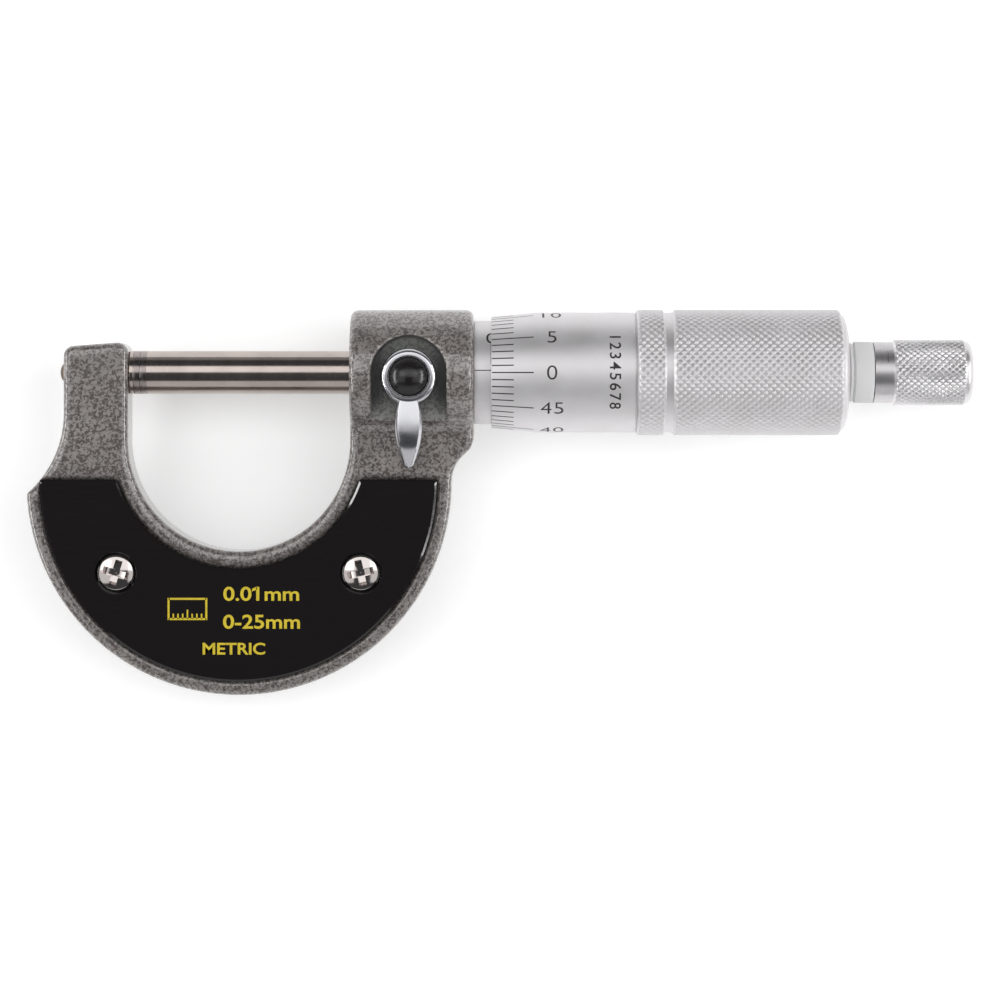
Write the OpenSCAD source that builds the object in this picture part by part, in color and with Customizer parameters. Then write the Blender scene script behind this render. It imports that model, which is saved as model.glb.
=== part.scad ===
// Outside micrometer, 0 to 25 mm, with a ratchet stop, a spindle lock and two cover plates.
// It lies on its back. +X runs from the anvil to the ratchet, +Y from the bow to the spindle,
// and +Z rises out of the front cover plate. The origin is the middle of the anvil's face.

/* [Measuring] */
// Travel of the spindle
travel = 25; // [20:1:30]
// Gap left between the measuring faces when the thimble reads zero
closed_gap = 0.01; // [0.01:0.01:0.05]
// Diameter of the spindle and of the anvil's head
spindle_d = 6.5; // [5:0.1:8]
// Length of each carbide measuring tip
tip_l = 1; // [0.6:0.1:1.5]
// How far the anvil's head stands out of its arm
anvil_reach = 1.7; // [1.6:0.1:3]

/* [Frame] */
// Clear distance between the two arms
throat_w = 33.1; // [32:0.1:42]
// Depth of the throat's centre below the spindle axis
throat_drop = 10.1; // [8:0.1:16]
// Width of the bow beside the throat
limb_w = 15.15; // [13:0.05:20]
// How much lower the bow's outer arc is centred than the throat
belly_drop = 6.3; // [4:0.1:9]
// Thickness of the bow and the arms
frame_t = 9; // [7:0.1:12]
// Width of the anvil's arm
arm_w = 9.6; // [8:0.1:12]
// Height of the anvil's arm above the spindle axis
arm_top = 4.4; // [4:0.1:7]
// Radius of the hollow between the anvil's arm and the bow's ear
ear_r = 15.9; // [13:0.1:19]
// Depth of that hollow's start below the spindle axis
ear_drop = 6; // [5:0.1:8]
// Radius of the hollow between the boss and the bow
shoulder_r = 5.6; // [4.5:0.1:6.5]
// Diameter of the boss that holds the barrel and the lock
boss_d = 18.8; // [17.5:0.1:23]
// Length of the boss
boss_l = 18.5; // [17:0.1:24]
// Radius of the round edges at the boss's ends
boss_round = 1.2; // [0.5:0.1:1.4]
// Radius of the fillets that join the boss to the bow
boss_fillet = 3; // [1:0.1:4]
// Radius of the arm's top corners
arm_round = 1.2; // [0.5:0.1:1.5]

/* [Cover plates] */
// Thickness of a cover plate
plate_t = 2; // [1.8:0.1:3]
// Depth of the pocket that a cover plate lies in
plate_pocket = 0.8; // [0.4:0.1:1]
// Width of the frame's rim between a plate and the throat
rim_in = 2.45; // [1.5:0.05:4]
// Width of the frame's rim between a plate and the bow's outer arc
rim_out = 2.2; // [1.5:0.05:4]
// Depth of a plate's top edges below the spindle axis
plate_drop = 15.9; // [15:0.1:18]
// Gap between a plate's edge and its pocket's wall
plate_gap = 0.1; // [0.05:0.01:0.2]
// Distance between a plate's two screws
screw_span = 36.4; // [34:0.1:38]
// Depth of the plate screws below the spindle axis
screw_drop = 29.8; // [28:0.1:31]
// Thread diameter of a plate screw
screw_d = 3; // [2:0.1:3.5]
// Head diameter of a plate screw
screw_head_d = 5.6; // [4.5:0.1:6.5]
// Head height of a plate screw
screw_head_h = 1.35; // [1:0.05:1.5]
// Length of a plate screw's thread
screw_l = 3.6; // [2.5:0.1:4]

/* [Barrel and sleeve] */
// Diameter of the barrel's spigot in the frame
spigot_d = 11; // [10:0.1:13]
// Length of the barrel's spigot in the frame
spigot_l = 6.5; // [5:0.1:7]
// Outer diameter of the barrel under the sleeve
barrel_d = 14; // [13.5:0.1:14.5]
// Wall of the graduated sleeve
sleeve_wall = 0.72; // [0.5:0.01:1]
// Outer diameter of the spindle's thread
thread_d = 7.2; // [6.8:0.1:8.5]
// Length of the barrel's internal thread
nut_thread_l = 14; // [10:0.5:16]
// Diameter of the barrel's slotted end, where the adjusting nut screws on
slotted_d = 11.2; // [10:0.1:12]
// Outer diameter of the adjusting nut
nut_d = 14.6; // [13.5:0.1:15]
// Length of the adjusting nut
nut_l = 4; // [3:0.1:5]
// Width of the slots in the barrel's end
slot_w = 0.8; // [0.5:0.1:1.2]
// Diameter of the spanner hole in the sleeve
spanner_d = 1.5; // [1:0.1:1.8]

/* [Thimble] */
// Length of sleeve left open between the boss and the thimble's edge at zero
scale_gap = 2.6; // [2.4:0.1:4]
// Diameter of the thimble's graduated edge
edge_d = 16.6; // [16.3:0.1:17.5]
// Diameter of the thimble's plain skirt
thimble_d = 18; // [17.6:0.1:22]
// Diameter over the knurling
grip_d = 18.86; // [18.4:0.01:23]
// Length of the graduated bevel
bevel_l = 6.9; // [5:0.1:9]
// Length of the plain skirt
skirt_l = 14.6; // [12:0.1:18]
// Length of the narrow knurled band
band_l = 4.4; // [3:0.1:6]
// Length of the plain groove between the knurls
groove_l = 1.2; // [0.8:0.1:2]
// Length of the main knurl
grip_l = 24.7; // [20:0.1:30]
// Length of the thimble's coned end
cone_l = 2.1; // [1.5:0.1:3]
// Length of the taper that seats the thimble on the spindle
taper_l = 5; // [4:0.1:5.4]

/* [Ratchet stop] */
// Diameter of the ratchet's smooth rings
ring_d = 9.14; // [8.8:0.01:11]
// Length of the stem's neck against the thimble
neck_l = 0.4; // [0.3:0.1:1]
// Length of the stem's ring
ring_l = 2.8; // [2.4:0.1:4]
// Length of the cap's smooth collar
collar_l = 2.93; // [2:0.01:4]
// Diameter over the cap's knurling
cap_d = 9.88; // [9.5:0.01:12]
// Length of the cap's knurled part
cap_l = 11.75; // [11:0.05:15]
// Length of the cap's rounded end
cap_round = 1.6; // [1:0.1:2]
// Inner diameter of the cap's spring chamber
chamber_d = 8; // [7.6:0.1:8.4]
// Diameter of the stem's spigot
stem_d = 3; // [2.6:0.1:3.4]
// Number of ratchet teeth
ratchet_teeth = 24; // [12:12:24]
// Height of a ratchet tooth
tooth_h = 0.4; // [0.3:0.05:0.5]
// Wire diameter of the ratchet spring
wire_d = 0.6; // [0.4:0.05:0.8]

/* [Spindle lock] */
// Distance from the boss's inner end to the lock's axis
lock_in = 8.9; // [8:0.1:10]
// How far the lock's axis lies below the spindle axis
lock_drop = 0.6; // [0:0.1:0.8]
// Height of the lock pocket's floor above the spindle axis
lock_floor = 6.3; // [6:0.1:6.8]
// Radius of the lock pocket's arch
pocket_r = 5.6; // [5.3:0.1:6.2]
// Outer diameter of the lever's ring
lever_d = 8.4; // [7.6:0.1:9]
// Height of the lever's ring
lever_h = 2.85; // [2.4:0.05:3.5]
// Distance from the lock's axis to the tip of the lever
lever_l = 13.5; // [11:0.1:14.5]
// Greatest width of the lever's tail
tail_w = 4.3; // [3.5:0.1:4.5]
// Thickness of the lever's tail
tail_t = 1.8; // [1.4:0.1:2.2]
// Thread diameter of the lock screw
lock_screw_d = 5; // [4:0.1:5.4]
// Diameter of the lock screw's domed head
button_d = 5.9; // [5.2:0.1:6.2]
// Height of that head above the lever's recess
button_h = 2.2; // [1.6:0.1:2.6]
// Diameter of the brass pad
pad_d = 3; // [2.4:0.1:3.4]

/* [Fits] */
// Radial clearance of a shaft that turns or slides in its bore
run_gap = 0.03; // [0.02:0.01:0.08]
// Axial clearance between pieces that turn against each other
face_gap = 0.1; // [0.08:0.01:0.15]
// Radial clearance between the sleeve and the inside of the thimble
thimble_gap = 0.09; // [0.06:0.01:0.12]
// Clearance of the lock pad over the spindle with the lever straight down
pad_gap = 0.07; // [0.07:0.01:0.1]

/* [Hidden] */
$fn = 96;
// Overlap that makes a cut pass cleanly through a face
e = 0.5;

// Frame
spindle_r = spindle_d / 2;
throat_r = throat_w / 2;
boss_x0 = throat_w - anvil_reach;
boss_x1 = boss_x0 + boss_l;
bow_x = throat_r - anvil_reach;
bow_r = throat_r + limb_w;
bow_drop = throat_drop + belly_drop;
arm_x1 = -anvil_reach;
arm_x0 = arm_x1 - arm_w;
half_t = frame_t / 2;
boss_r = boss_d / 2;
guide_r = spindle_r + run_gap;
spigot_x0 = boss_x1 - spigot_l;

// Anvil: a shouldered plug with a thin domed tail
anvil_shank_d = 5;
anvil_shank_l = 5.3;
anvil_tail_d = 3;
anvil_dome = 0.8;

// Lock pocket: its arch is centred this far above the lock's axis
pocket_rise = 0.5;

// Cover plates
plate_z0 = half_t - plate_pocket;
plate_z1 = plate_z0 + plate_t;
head_recess = screw_head_h + 0.1;
head_z0 = plate_z1 - head_recess;
screw_hole_d = screw_d + 0.3;
counterbore_d = screw_head_d + 0.5;
cross_w = 0.8;
cross_deep = 0.9;

// Barrel and sleeve
barrel_r = barrel_d / 2;
sleeve_in_r = barrel_r + run_gap;
sleeve_r = sleeve_in_r + sleeve_wall;
thread_r = thread_d / 2;
nut_bore_r = thread_r + run_gap + 0.02;
relief_r = nut_bore_r + 0.1;
x_edge = boss_x1 + scale_gap;
sleeve_x0 = boss_x1 + 0.05;
sleeve_x1 = x_edge + travel + 1.5;
nut_x0 = sleeve_x1 + 1;
nut_x1 = nut_x0 + nut_l;
nut_thread_x0 = nut_x1 - nut_thread_l;
nut_slot_w = 1.2;
nut_slot_deep = 1;

// Thimble
thimble_in_r = sleeve_r + thimble_gap;
x_bevel = x_edge + bevel_l;
x_band = x_bevel + skirt_l;
x_groove = x_band + band_l;
x_grip = x_groove + groove_l;
x_cone = x_grip + grip_l;
x_tail = x_cone + cone_l;
end_wall = taper_l + 0.9;
knurl_chamfer = 0.3;
band_step = 0.1;
tail_face_r = ring_d / 2 + 0.07;
taper_r0 = thread_r - 0.1;
taper_r1 = taper_r0 - taper_l / 8;
tail_recess = 0.2;
relief_l = 2.6;
relief_deep = 0.4;

// Ratchet stop
x_ring = x_tail + neck_l;
x_teeth = x_ring + ring_l;
x_cap = x_teeth + face_gap;
x_knurl = x_cap + collar_l;
x_end = x_knurl + cap_l;
cap_wall = 3.5;
x_seat = x_end - 3.6;
x_chamber = x_seat - cap_wall;
stem_r = stem_d / 2;
stem_root_l = 7.5;
neck_r = ring_d / 2 - 0.17;
tooth_w = 0.5;
notch_w = tooth_w + 0.12;
pawl_l = 1.7;
pawl_r = chamber_d / 2 - 0.05;
pawl_x0 = x_cap + 0.05;
teeth_r0 = 2.3;
teeth_r1 = pawl_r - 0.2;
lug_w = 1;
lug_h = 0.35;
ratchet_screw_d = 1.6;
ratchet_head_d = 4.4;
screwdriver_w = 0.5;

// Spindle lock
lock_x = boss_x0 + lock_in;
lock_y = -lock_drop;
lever_z0 = lock_floor + face_gap + 0.05;
lever_z1 = lever_z0 + lever_h;
button_z0 = lever_z1 - 1;
tail_z1 = lever_z1 - 0.1;
tail_belly = 5.9;
tail_tip_r = 0.85;
pad_z0 = spindle_r + pad_gap;
pad_z1 = pad_z0 + 1.15;
pad_hole_z = pad_z1 + 0.2;

// A solid of revolution about the spindle axis, from points of [radius, x]
module turned(points) {
    rotate([0, 90, 0]) rotate_extrude() polygon(points);
}

// A round bar along the spindle axis
module bar(x0, x1, r) {
    translate([x0, 0, 0]) rotate([0, 90, 0]) cylinder(h = x1 - x0, r = r);
}

// A round tube along the spindle axis
module tube(x0, x1, r_out, r_in) {
    difference() {
        bar(x0, x1, r_out);
        bar(x0 - e, x1 + e, r_in);
    }
}

// What is cut off a square corner at the origin to leave it round
module corner_waste(r) {
    difference() {
        square(r * 2, center = true);
        translate([-r, -r]) circle(r);
    }
}

// A straight cross slot for a screwdriver, cut down from z = 0
module cross_slot(span, width, depth) {
    for (turn = [0, 90]) rotate(turn)
        translate([-span / 2, -width / 2, -depth]) cube([span, width, depth + e]);
}

// The bow, its ear and both arms, seen from the front
module frame_outline() {
    difference() {
        union() {
            intersection() {
                translate([bow_x, -bow_drop]) circle(bow_r, $fn = 180);
                translate([bow_x - 2 * bow_r, -4 * bow_r]) square([4 * bow_r, 4 * bow_r - ear_drop]);
            }
            translate([arm_x0, -bow_drop]) square([arm_w, bow_drop + arm_top]);
            translate([boss_x0, -bow_drop]) square([boss_l, bow_drop]);
        }
        translate([bow_x, -throat_drop]) circle(throat_r, $fn = 180);
        translate([arm_x1, -throat_drop]) square([throat_w, throat_drop + arm_top + e]);
        translate([arm_x0 - ear_r, -ear_drop]) circle(ear_r, $fn = 180);
        translate([bow_x + bow_r + shoulder_r, -bow_drop]) circle(shoulder_r);
        translate([arm_x0, arm_top]) mirror([1, 0]) corner_waste(arm_round);
        translate([arm_x1, arm_top]) corner_waste(arm_round);
    }
}

// A cover plate's outline, grown by gap all round for its pocket
module plate_outline(gap = 0) {
    difference() {
        translate([bow_x, -bow_drop]) circle(bow_r - rim_out + gap, $fn = 180);
        translate([bow_x, -throat_drop]) circle(throat_r + rim_in - gap, $fn = 180);
        translate([bow_x - 2 * bow_r, -plate_drop + gap]) square([4 * bow_r, 4 * bow_r]);
    }
}

// The places of a cover plate's screws
module at_plate_screws() {
    for (side = [-1, 1]) translate([bow_x + side * screw_span / 2, -screw_drop, 0]) children();
}

// The boss with its round ends, and the fillets that run into the bow
module boss() {
    rotate([0, 90, 0]) rotate_extrude() difference() {
        translate([0, boss_x0]) square([boss_r, boss_l]);
        translate([boss_r, boss_x1]) corner_waste(boss_round);
        translate([boss_r, boss_x0]) mirror([0, 1]) corner_waste(boss_round);
    }
    fillet_z = half_t + boss_fillet;
    fillet_y = sqrt(pow(boss_r + boss_fillet, 2) - pow(fillet_z, 2));
    touch = boss_r / (boss_r + boss_fillet);
    for (side = [0, 1]) mirror([0, 0, side])
        translate([boss_x0 + boss_round, 0, 0]) rotate([90, 0, 90]) linear_extrude(boss_l - 2 * boss_round)
            difference() {
                polygon([[0, 0], [-fillet_y * touch, fillet_z * touch], [-fillet_y, half_t], [-fillet_y, 0]]);
                translate([-fillet_y, fillet_z]) circle(boss_fillet);
            }
}

module frame() {
    color("#8b8683") difference() {
        union() {
            translate([0, 0, -half_t]) linear_extrude(frame_t) frame_outline();
            boss();
        }
        // pockets and tapped holes for the cover plates
        for (side = [0, 1]) mirror([0, 0, side])
            translate([0, 0, plate_z0]) linear_extrude(plate_pocket + e) plate_outline(plate_gap);
        at_plate_screws() cylinder(h = frame_t + 2 * e, d = screw_d, center = true, $fn = 32);
        // anvil's stepped hole
        bar(arm_x1 - anvil_shank_l, arm_x1 + e, anvil_shank_d / 2);
        bar(arm_x0 - e, arm_x1, anvil_tail_d / 2);
        // spindle guide and barrel seat
        bar(boss_x0 - e, boss_x1, guide_r);
        bar(spigot_x0, boss_x1 + e, spigot_d / 2);
        // lock pocket, its screw hole and the pad's hole
        translate([lock_x, lock_y + pocket_rise, lock_floor]) cylinder(h = boss_r, r = pocket_r);
        translate([lock_x - pocket_r, lock_y + pocket_rise - boss_r, lock_floor])
            cube([2 * pocket_r, boss_r, boss_r]);
        translate([lock_x, lock_y, pad_hole_z]) cylinder(h = boss_r, d = lock_screw_d, $fn = 48);
        translate([lock_x, lock_y, 0]) cylinder(h = boss_r, r = pad_d / 2 + run_gap, $fn = 48);
    }
}

module anvil() {
    color("#b3aeab") {
        bar(arm_x1, -tip_l, spindle_r);
        bar(arm_x1 - anvil_shank_l, arm_x1, anvil_shank_d / 2);
        turned([
            [0, arm_x0 - anvil_dome], [anvil_tail_d / 4, arm_x0 - anvil_dome * 0.85],
            [anvil_tail_d / 2, arm_x0 - anvil_dome * 0.3], [anvil_tail_d / 2, arm_x1 - anvil_shank_l],
            [0, arm_x1 - anvil_shank_l]
        ]);
    }
}

module anvil_tip() {
    color("#77716e") bar(-tip_l, 0, spindle_r);
}

// One cover plate, with counterbored holes for its screws
module cover_plate() {
    difference() {
        translate([0, 0, plate_z0]) linear_extrude(plate_t) plate_outline();
        at_plate_screws() {
            translate([0, 0, plate_z0 - e]) cylinder(h = plate_t, d = screw_hole_d, $fn = 32);
            translate([0, 0, head_z0]) cylinder(h = plate_t, d = counterbore_d, $fn = 48);
        }
    }
}

module front_plate() {
    color("#1f1b1c") cover_plate();
}

module back_plate() {
    color("#1f1b1c") mirror([0, 0, 1]) cover_plate();
}

// Two pan-head screws with a cross recess
module plate_screws() {
    dome_r = (pow(screw_head_d / 2, 2) + pow(screw_head_h, 2)) / (2 * screw_head_h) + 0.6;
    at_plate_screws() difference() {
        union() {
            translate([0, 0, head_z0 - screw_l]) cylinder(h = screw_l + e / 2, d = screw_d, $fn = 32);
            intersection() {
                translate([0, 0, head_z0]) cylinder(h = screw_head_h, d = screw_head_d, $fn = 48);
                translate([0, 0, head_z0 + screw_head_h - dome_r]) sphere(dome_r, $fn = 64);
            }
        }
        translate([0, 0, head_z0 + screw_head_h]) cross_slot(screw_head_d * 0.55, cross_w, cross_deep);
    }
}

module front_plate_screws() {
    color("#c9c4c4") plate_screws();
}

module back_plate_screws() {
    color("#c9c4c4") mirror([0, 0, 1]) plate_screws();
}

module inner_barrel() {
    color("#9a9894") difference() {
        union() {
            bar(spigot_x0, boss_x1 + e, spigot_d / 2);
            bar(boss_x1, sleeve_x1, barrel_r);
            bar(sleeve_x1 - e, nut_x1, slotted_d / 2);
        }
        bar(spigot_x0 - e, nut_x1 + e, nut_bore_r);
        bar(spigot_x0 - e, nut_thread_x0, relief_r);
        // three slots let the nut close the thread
        for (turn = [0 : 120 : 240]) rotate([turn, 0, 0])
            translate([nut_thread_x0 + 2, 0, -slot_w / 2]) cube([nut_thread_l, barrel_r + 1, slot_w]);
    }
}

module adjusting_nut() {
    color("#a8a49c") difference() {
        tube(nut_x0, nut_x1, nut_d / 2, slotted_d / 2);
        translate([nut_x1 - nut_slot_deep, -nut_d, -nut_slot_w / 2])
            cube([nut_slot_deep + e, 2 * nut_d, nut_slot_w]);
    }
}

module sleeve() {
    color("#c6c6c8") difference() {
        tube(sleeve_x0, sleeve_x1, sleeve_r, sleeve_in_r);
        translate([(sleeve_x0 + x_edge) / 2, 0, -sleeve_r - e])
            cylinder(h = sleeve_r, d = spanner_d, $fn = 32);
    }
}

module spindle() {
    thread_x0 = nut_thread_x0 - travel;
    taper_x0 = x_tail - taper_l - tail_recess;
    color("#b9b2ae") difference() {
        union() {
            bar(closed_gap + tip_l, thread_x0, spindle_r);
            turned([
                [0, thread_x0 - e], [spindle_r, thread_x0 - e], [spindle_r, thread_x0],
                [thread_r, thread_x0 + relief_deep], [thread_r, taper_x0 - relief_l],
                [taper_r0 - relief_deep, taper_x0 - relief_l + relief_deep],
                [taper_r0 - relief_deep, taper_x0], [taper_r0, taper_x0],
                [taper_r1, x_tail - tail_recess], [0, x_tail - tail_recess]
            ]);
        }
        bar(x_tail - stem_root_l - e, x_tail + e, stem_r);
    }
}

module spindle_tip() {
    color("#77716e") bar(closed_gap, closed_gap + tip_l, spindle_r);
}

module thimble() {
    r0 = edge_d / 2;
    r1 = thimble_d / 2;
    r2 = grip_d / 2;
    seat_slope = (taper_r0 - taper_r1) / taper_l;
    color("#c4c4c6") difference() {
        turned([
            [0, x_edge], [r0, x_edge], [r1, x_bevel],
            [r1, x_band - band_step], [r1 - band_step, x_band], [r1 + band_step, x_band + band_step],
            [r2, x_band + 3 * knurl_chamfer], [r2, x_groove - knurl_chamfer], [r1, x_groove],
            [r1, x_grip], [r2, x_grip + knurl_chamfer], [r2, x_cone],
            [r2 - 2 * knurl_chamfer, x_cone + 0.4], [tail_face_r, x_tail], [0, x_tail]
        ]);
        bar(x_edge - e, x_tail - end_wall, thimble_in_r);
        turned([
            [0, x_tail - end_wall - e],
            [taper_r0 + seat_slope * (end_wall + e - taper_l - tail_recess), x_tail - end_wall - e],
            [taper_r1 - seat_slope * (tail_recess + e), x_tail + e], [0, x_tail + e]
        ]);
    }
}

// A ring of radial V shapes, which are the ratchet's teeth or the notches that they sit in
module face_teeth(x, height, width, r_in, r_out) {
    side = width / 2;
    root = 0.2;
    for (i = [0 : ratchet_teeth - 1]) rotate([i * 360 / ratchet_teeth, 0, 0])
        translate([x, 0, r_in]) linear_extrude(r_out - r_in)
            polygon([[root, -side], [0, -side], [-height, -side / 2], [0, side], [root, side]]);
}

module ratchet_stem() {
    color("#b8b6b8") difference() {
        union() {
            bar(x_tail - stem_root_l, x_ring, stem_r);
            bar(x_tail, x_ring, neck_r);
            bar(x_ring, x_teeth, ring_d / 2);
            bar(x_teeth - e, x_seat + face_gap, stem_r);
        }
        face_teeth(x_teeth, tooth_h + face_gap, notch_w, teeth_r0 - 0.1, teeth_r1 + 0.15);
        bar(x_seat - 5, x_seat + 1, ratchet_screw_d / 2);
    }
}

// The toothed ring that the spring presses on the stem
module ratchet_pawl() {
    color("#8f8c8a") difference() {
        union() {
            bar(pawl_x0, pawl_x0 + pawl_l, pawl_r);
            face_teeth(pawl_x0, tooth_h, tooth_w, teeth_r0, teeth_r1);
            for (turn = [0, 180]) rotate([turn, 0, 0])
                translate([pawl_x0, -lug_w / 2, teeth_r1]) cube([pawl_l, lug_w, pawl_r + lug_h - teeth_r1]);
        }
        bar(pawl_x0 - 1, pawl_x0 + pawl_l + e, stem_r + run_gap);
    }
}

// A coil of round wire about the spindle axis
module coil(x0, x1, r, wire_r, turns, steps = 16, sides = 8) {
    n = turns * steps;
    points = [
        for (i = [0 : n], k = [0 : sides - 1])
            let (a = 360 * i / steps, b = 360 * k / sides, ring = r + wire_r * cos(b))
            [x0 + (x1 - x0) * i / n + wire_r * sin(b), ring * cos(a), ring * sin(a)]
    ];
    walls = [
        for (i = [0 : n - 1], k = [0 : sides - 1])
            let (a = i * sides + k, b = i * sides + (k + 1) % sides)
            [a, b, b + sides, a + sides]
    ];
    caps = [[for (k = [sides - 1 : -1 : 0]) k], [for (k = [0 : sides - 1]) n * sides + k]];
    polyhedron(points, concat(walls, caps));
}

module ratchet_spring() {
    margin = wire_d / 2 + 0.08;
    color("#9d9a98") coil(pawl_x0 + pawl_l + margin, x_chamber - margin, stem_r + 1.1, wire_d / 2, 4);
}

module ratchet_cap() {
    r = cap_d / 2;
    color("#bdbaba") difference() {
        turned([
            [0, x_cap], [ring_d / 2, x_cap], [ring_d / 2, x_knurl - 0.3], [r, x_knurl + 0.15],
            [r, x_end - cap_round], [r - 0.35, x_end - cap_round * 0.62], [r - 0.95, x_end - cap_round * 0.3],
            [r - 1.9, x_end], [0, x_end]
        ]);
        bar(x_cap - e, x_chamber, chamber_d / 2);
        bar(x_cap, x_end, stem_r + run_gap);
        bar(x_seat, x_end + e, ratchet_head_d / 2 + 0.2);
        // keyways that turn the toothed ring
        for (turn = [0, 180]) rotate([turn, 0, 0])
            translate([x_cap - e, -lug_w / 2 - 0.05, 0])
                cube([pawl_l + e + 0.5, lug_w + 0.1, pawl_r + lug_h + 0.05]);
    }
}

module ratchet_screw() {
    x0 = x_seat + face_gap;
    color("#b8b6b8") difference() {
        union() {
            bar(x0 - 4, x0 + e, ratchet_screw_d / 2);
            turned([
                [0, x0], [ratchet_head_d / 2, x0], [ratchet_head_d / 2, x0 + 0.9],
                [ratchet_head_d / 2 - 0.5, x0 + 1.4], [0, x0 + 1.5]
            ]);
        }
        translate([x0 + 0.8, -ratchet_head_d, -screwdriver_w / 2])
            cube([1, 2 * ratchet_head_d, screwdriver_w]);
    }
}

// The lever's tail: two shallow arcs that meet in a round tip
module tail_outline() {
    side_r = 16.9;
    tip_y = -lever_l + tail_tip_r;
    intersection() {
        translate([tail_w / 2 - side_r, -tail_belly]) circle(side_r, $fn = 180);
        translate([side_r - tail_w / 2, -tail_belly]) circle(side_r, $fn = 180);
        translate([-tail_w, tip_y]) square([2 * tail_w, -tip_y]);
    }
    translate([0, tip_y]) circle(tail_tip_r, $fn = 32);
}

module lock_lever() {
    color("#c8c8c9") translate([lock_x, lock_y, 0]) difference() {
        union() {
            translate([0, 0, lever_z0]) rotate_extrude() difference() {
                square([lever_d / 2, lever_h]);
                translate([lever_d / 2, lever_h]) corner_waste(0.7);
            }
            translate([0, 0, tail_z1 - tail_t]) linear_extrude(tail_t) tail_outline();
        }
        translate([0, 0, lever_z0 - e]) cylinder(h = lever_h, d = lock_screw_d - 2 * run_gap, $fn = 48);
        translate([0, 0, button_z0]) cylinder(h = lever_h, d = button_d + 0.1);
    }
}

// A short screw whose glossy domed head fills the lever's ring
module lock_screw() {
    rim_h = 0.7;
    dome_h = button_h - rim_h;
    dome_r = (pow(button_d / 2, 2) + pow(dome_h, 2)) / (2 * dome_h);
    color("#201c1d") translate([lock_x, lock_y, 0]) {
        translate([0, 0, pad_z1 + 0.3])
            cylinder(h = button_z0 - pad_z1, d = lock_screw_d - 2 * run_gap, $fn = 48);
        intersection() {
            translate([0, 0, button_z0]) cylinder(h = button_h, d = button_d);
            translate([0, 0, button_z0 + button_h - dome_r]) sphere(dome_r);
        }
    }
}

module lock_pad() {
    color("#b08d4a") translate([lock_x, lock_y, pad_z0]) cylinder(h = pad_z1 - pad_z0, d = pad_d, $fn = 48);
}

frame();
anvil();
anvil_tip();
front_plate();
back_plate();
front_plate_screws();
back_plate_screws();
inner_barrel();
adjusting_nut();
sleeve();
spindle();
spindle_tip();
thimble();
ratchet_stem();
ratchet_pawl();
ratchet_spring();
ratchet_cap();
ratchet_screw();
lock_lever();
lock_screw();
lock_pad();
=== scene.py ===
import math

import bmesh
import bpy
from mathutils import Matrix, Vector


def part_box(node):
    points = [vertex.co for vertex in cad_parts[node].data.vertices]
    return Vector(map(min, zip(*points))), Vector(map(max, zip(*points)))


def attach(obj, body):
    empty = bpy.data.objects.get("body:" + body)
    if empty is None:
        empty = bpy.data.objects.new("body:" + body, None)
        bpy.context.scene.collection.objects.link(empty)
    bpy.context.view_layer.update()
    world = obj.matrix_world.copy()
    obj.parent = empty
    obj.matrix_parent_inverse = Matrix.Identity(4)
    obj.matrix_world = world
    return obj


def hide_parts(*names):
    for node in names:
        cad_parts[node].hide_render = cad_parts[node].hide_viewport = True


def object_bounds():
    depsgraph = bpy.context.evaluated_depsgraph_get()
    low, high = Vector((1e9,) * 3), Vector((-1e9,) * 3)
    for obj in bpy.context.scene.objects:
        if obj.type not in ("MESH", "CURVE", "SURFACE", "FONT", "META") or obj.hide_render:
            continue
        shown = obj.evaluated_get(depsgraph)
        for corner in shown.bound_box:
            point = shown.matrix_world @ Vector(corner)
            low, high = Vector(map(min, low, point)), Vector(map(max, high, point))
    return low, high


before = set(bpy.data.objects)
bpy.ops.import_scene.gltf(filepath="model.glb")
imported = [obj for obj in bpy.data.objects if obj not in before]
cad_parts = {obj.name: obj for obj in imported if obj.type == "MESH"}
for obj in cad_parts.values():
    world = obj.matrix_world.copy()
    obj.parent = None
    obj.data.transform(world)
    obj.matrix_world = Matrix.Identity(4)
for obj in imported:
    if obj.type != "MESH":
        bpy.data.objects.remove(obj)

# The object's box as the design has it, kept before any piece is dressed. Every shape below is
# drawn in millimetres, in the design's own frame, and is scaled to metres as its piece is made.
cad_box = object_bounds()
MM = 0.001


def corners(node):
    """A designed node's lowest and highest corners, in millimetres."""
    low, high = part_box(node)
    return low / MM, high / MM


# -------- frame
# A C-shaped iron casting with a round boss on one arm. It is sprayed with grey hammertone paint,
# which settles into pale scales with dark pits between them and rounds every edge. The pockets
# for the cover plates and the lock are cast; the bores are reamed after painting.
frame_low, frame_high = corners("frame")
plate_low, plate_high = corners("front_plate")
anvil_low, anvil_high = corners("anvil")
lock_low, lock_high = corners("lock_screw")
BOW_R = 31.7
BOW_Y = frame_low.y + BOW_R
BOW_X = frame_low.x + BOW_R
THROAT_R = 16.55
THROAT_Y = -10.1
ARM_LEFT = BOW_X - THROAT_R - 9.6
ARM_RIGHT = BOW_X - THROAT_R
ARM_TOP_LEFT = 4.0
ARM_TOP_RIGHT = 4.5
ARM_CORNER_R = 1.5
EAR_R = 15.9
EAR_Y = -6.0
SHOULDER_R = 5.6
HALF_T = 4.5
EDGE_R = 1.0
BOSS_R = frame_high.z
BOSS_LEFT = BOW_X + THROAT_R
BOSS_RIGHT = frame_high.x
BOSS_FILLET = 3.0
LOCK_X = (lock_low.x + lock_high.x) / 2
LOCK_Y = (lock_low.y + lock_high.y) / 2
LOCK_FLOOR = 6.3
POCKET_R = 5.6
PLATE_POCKET_Z = plate_low.z
PLATE_R = 29.5
PLATE_HOLLOW_R = 19.0
SCREW_X = 18.2
SCREW_Y = -29.8
SCREW_HOLE_R = 1.5
PAD_HOLE_R = 1.53
LOCK_HOLE_R = 2.5
ANVIL_R = 2.5


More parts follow.
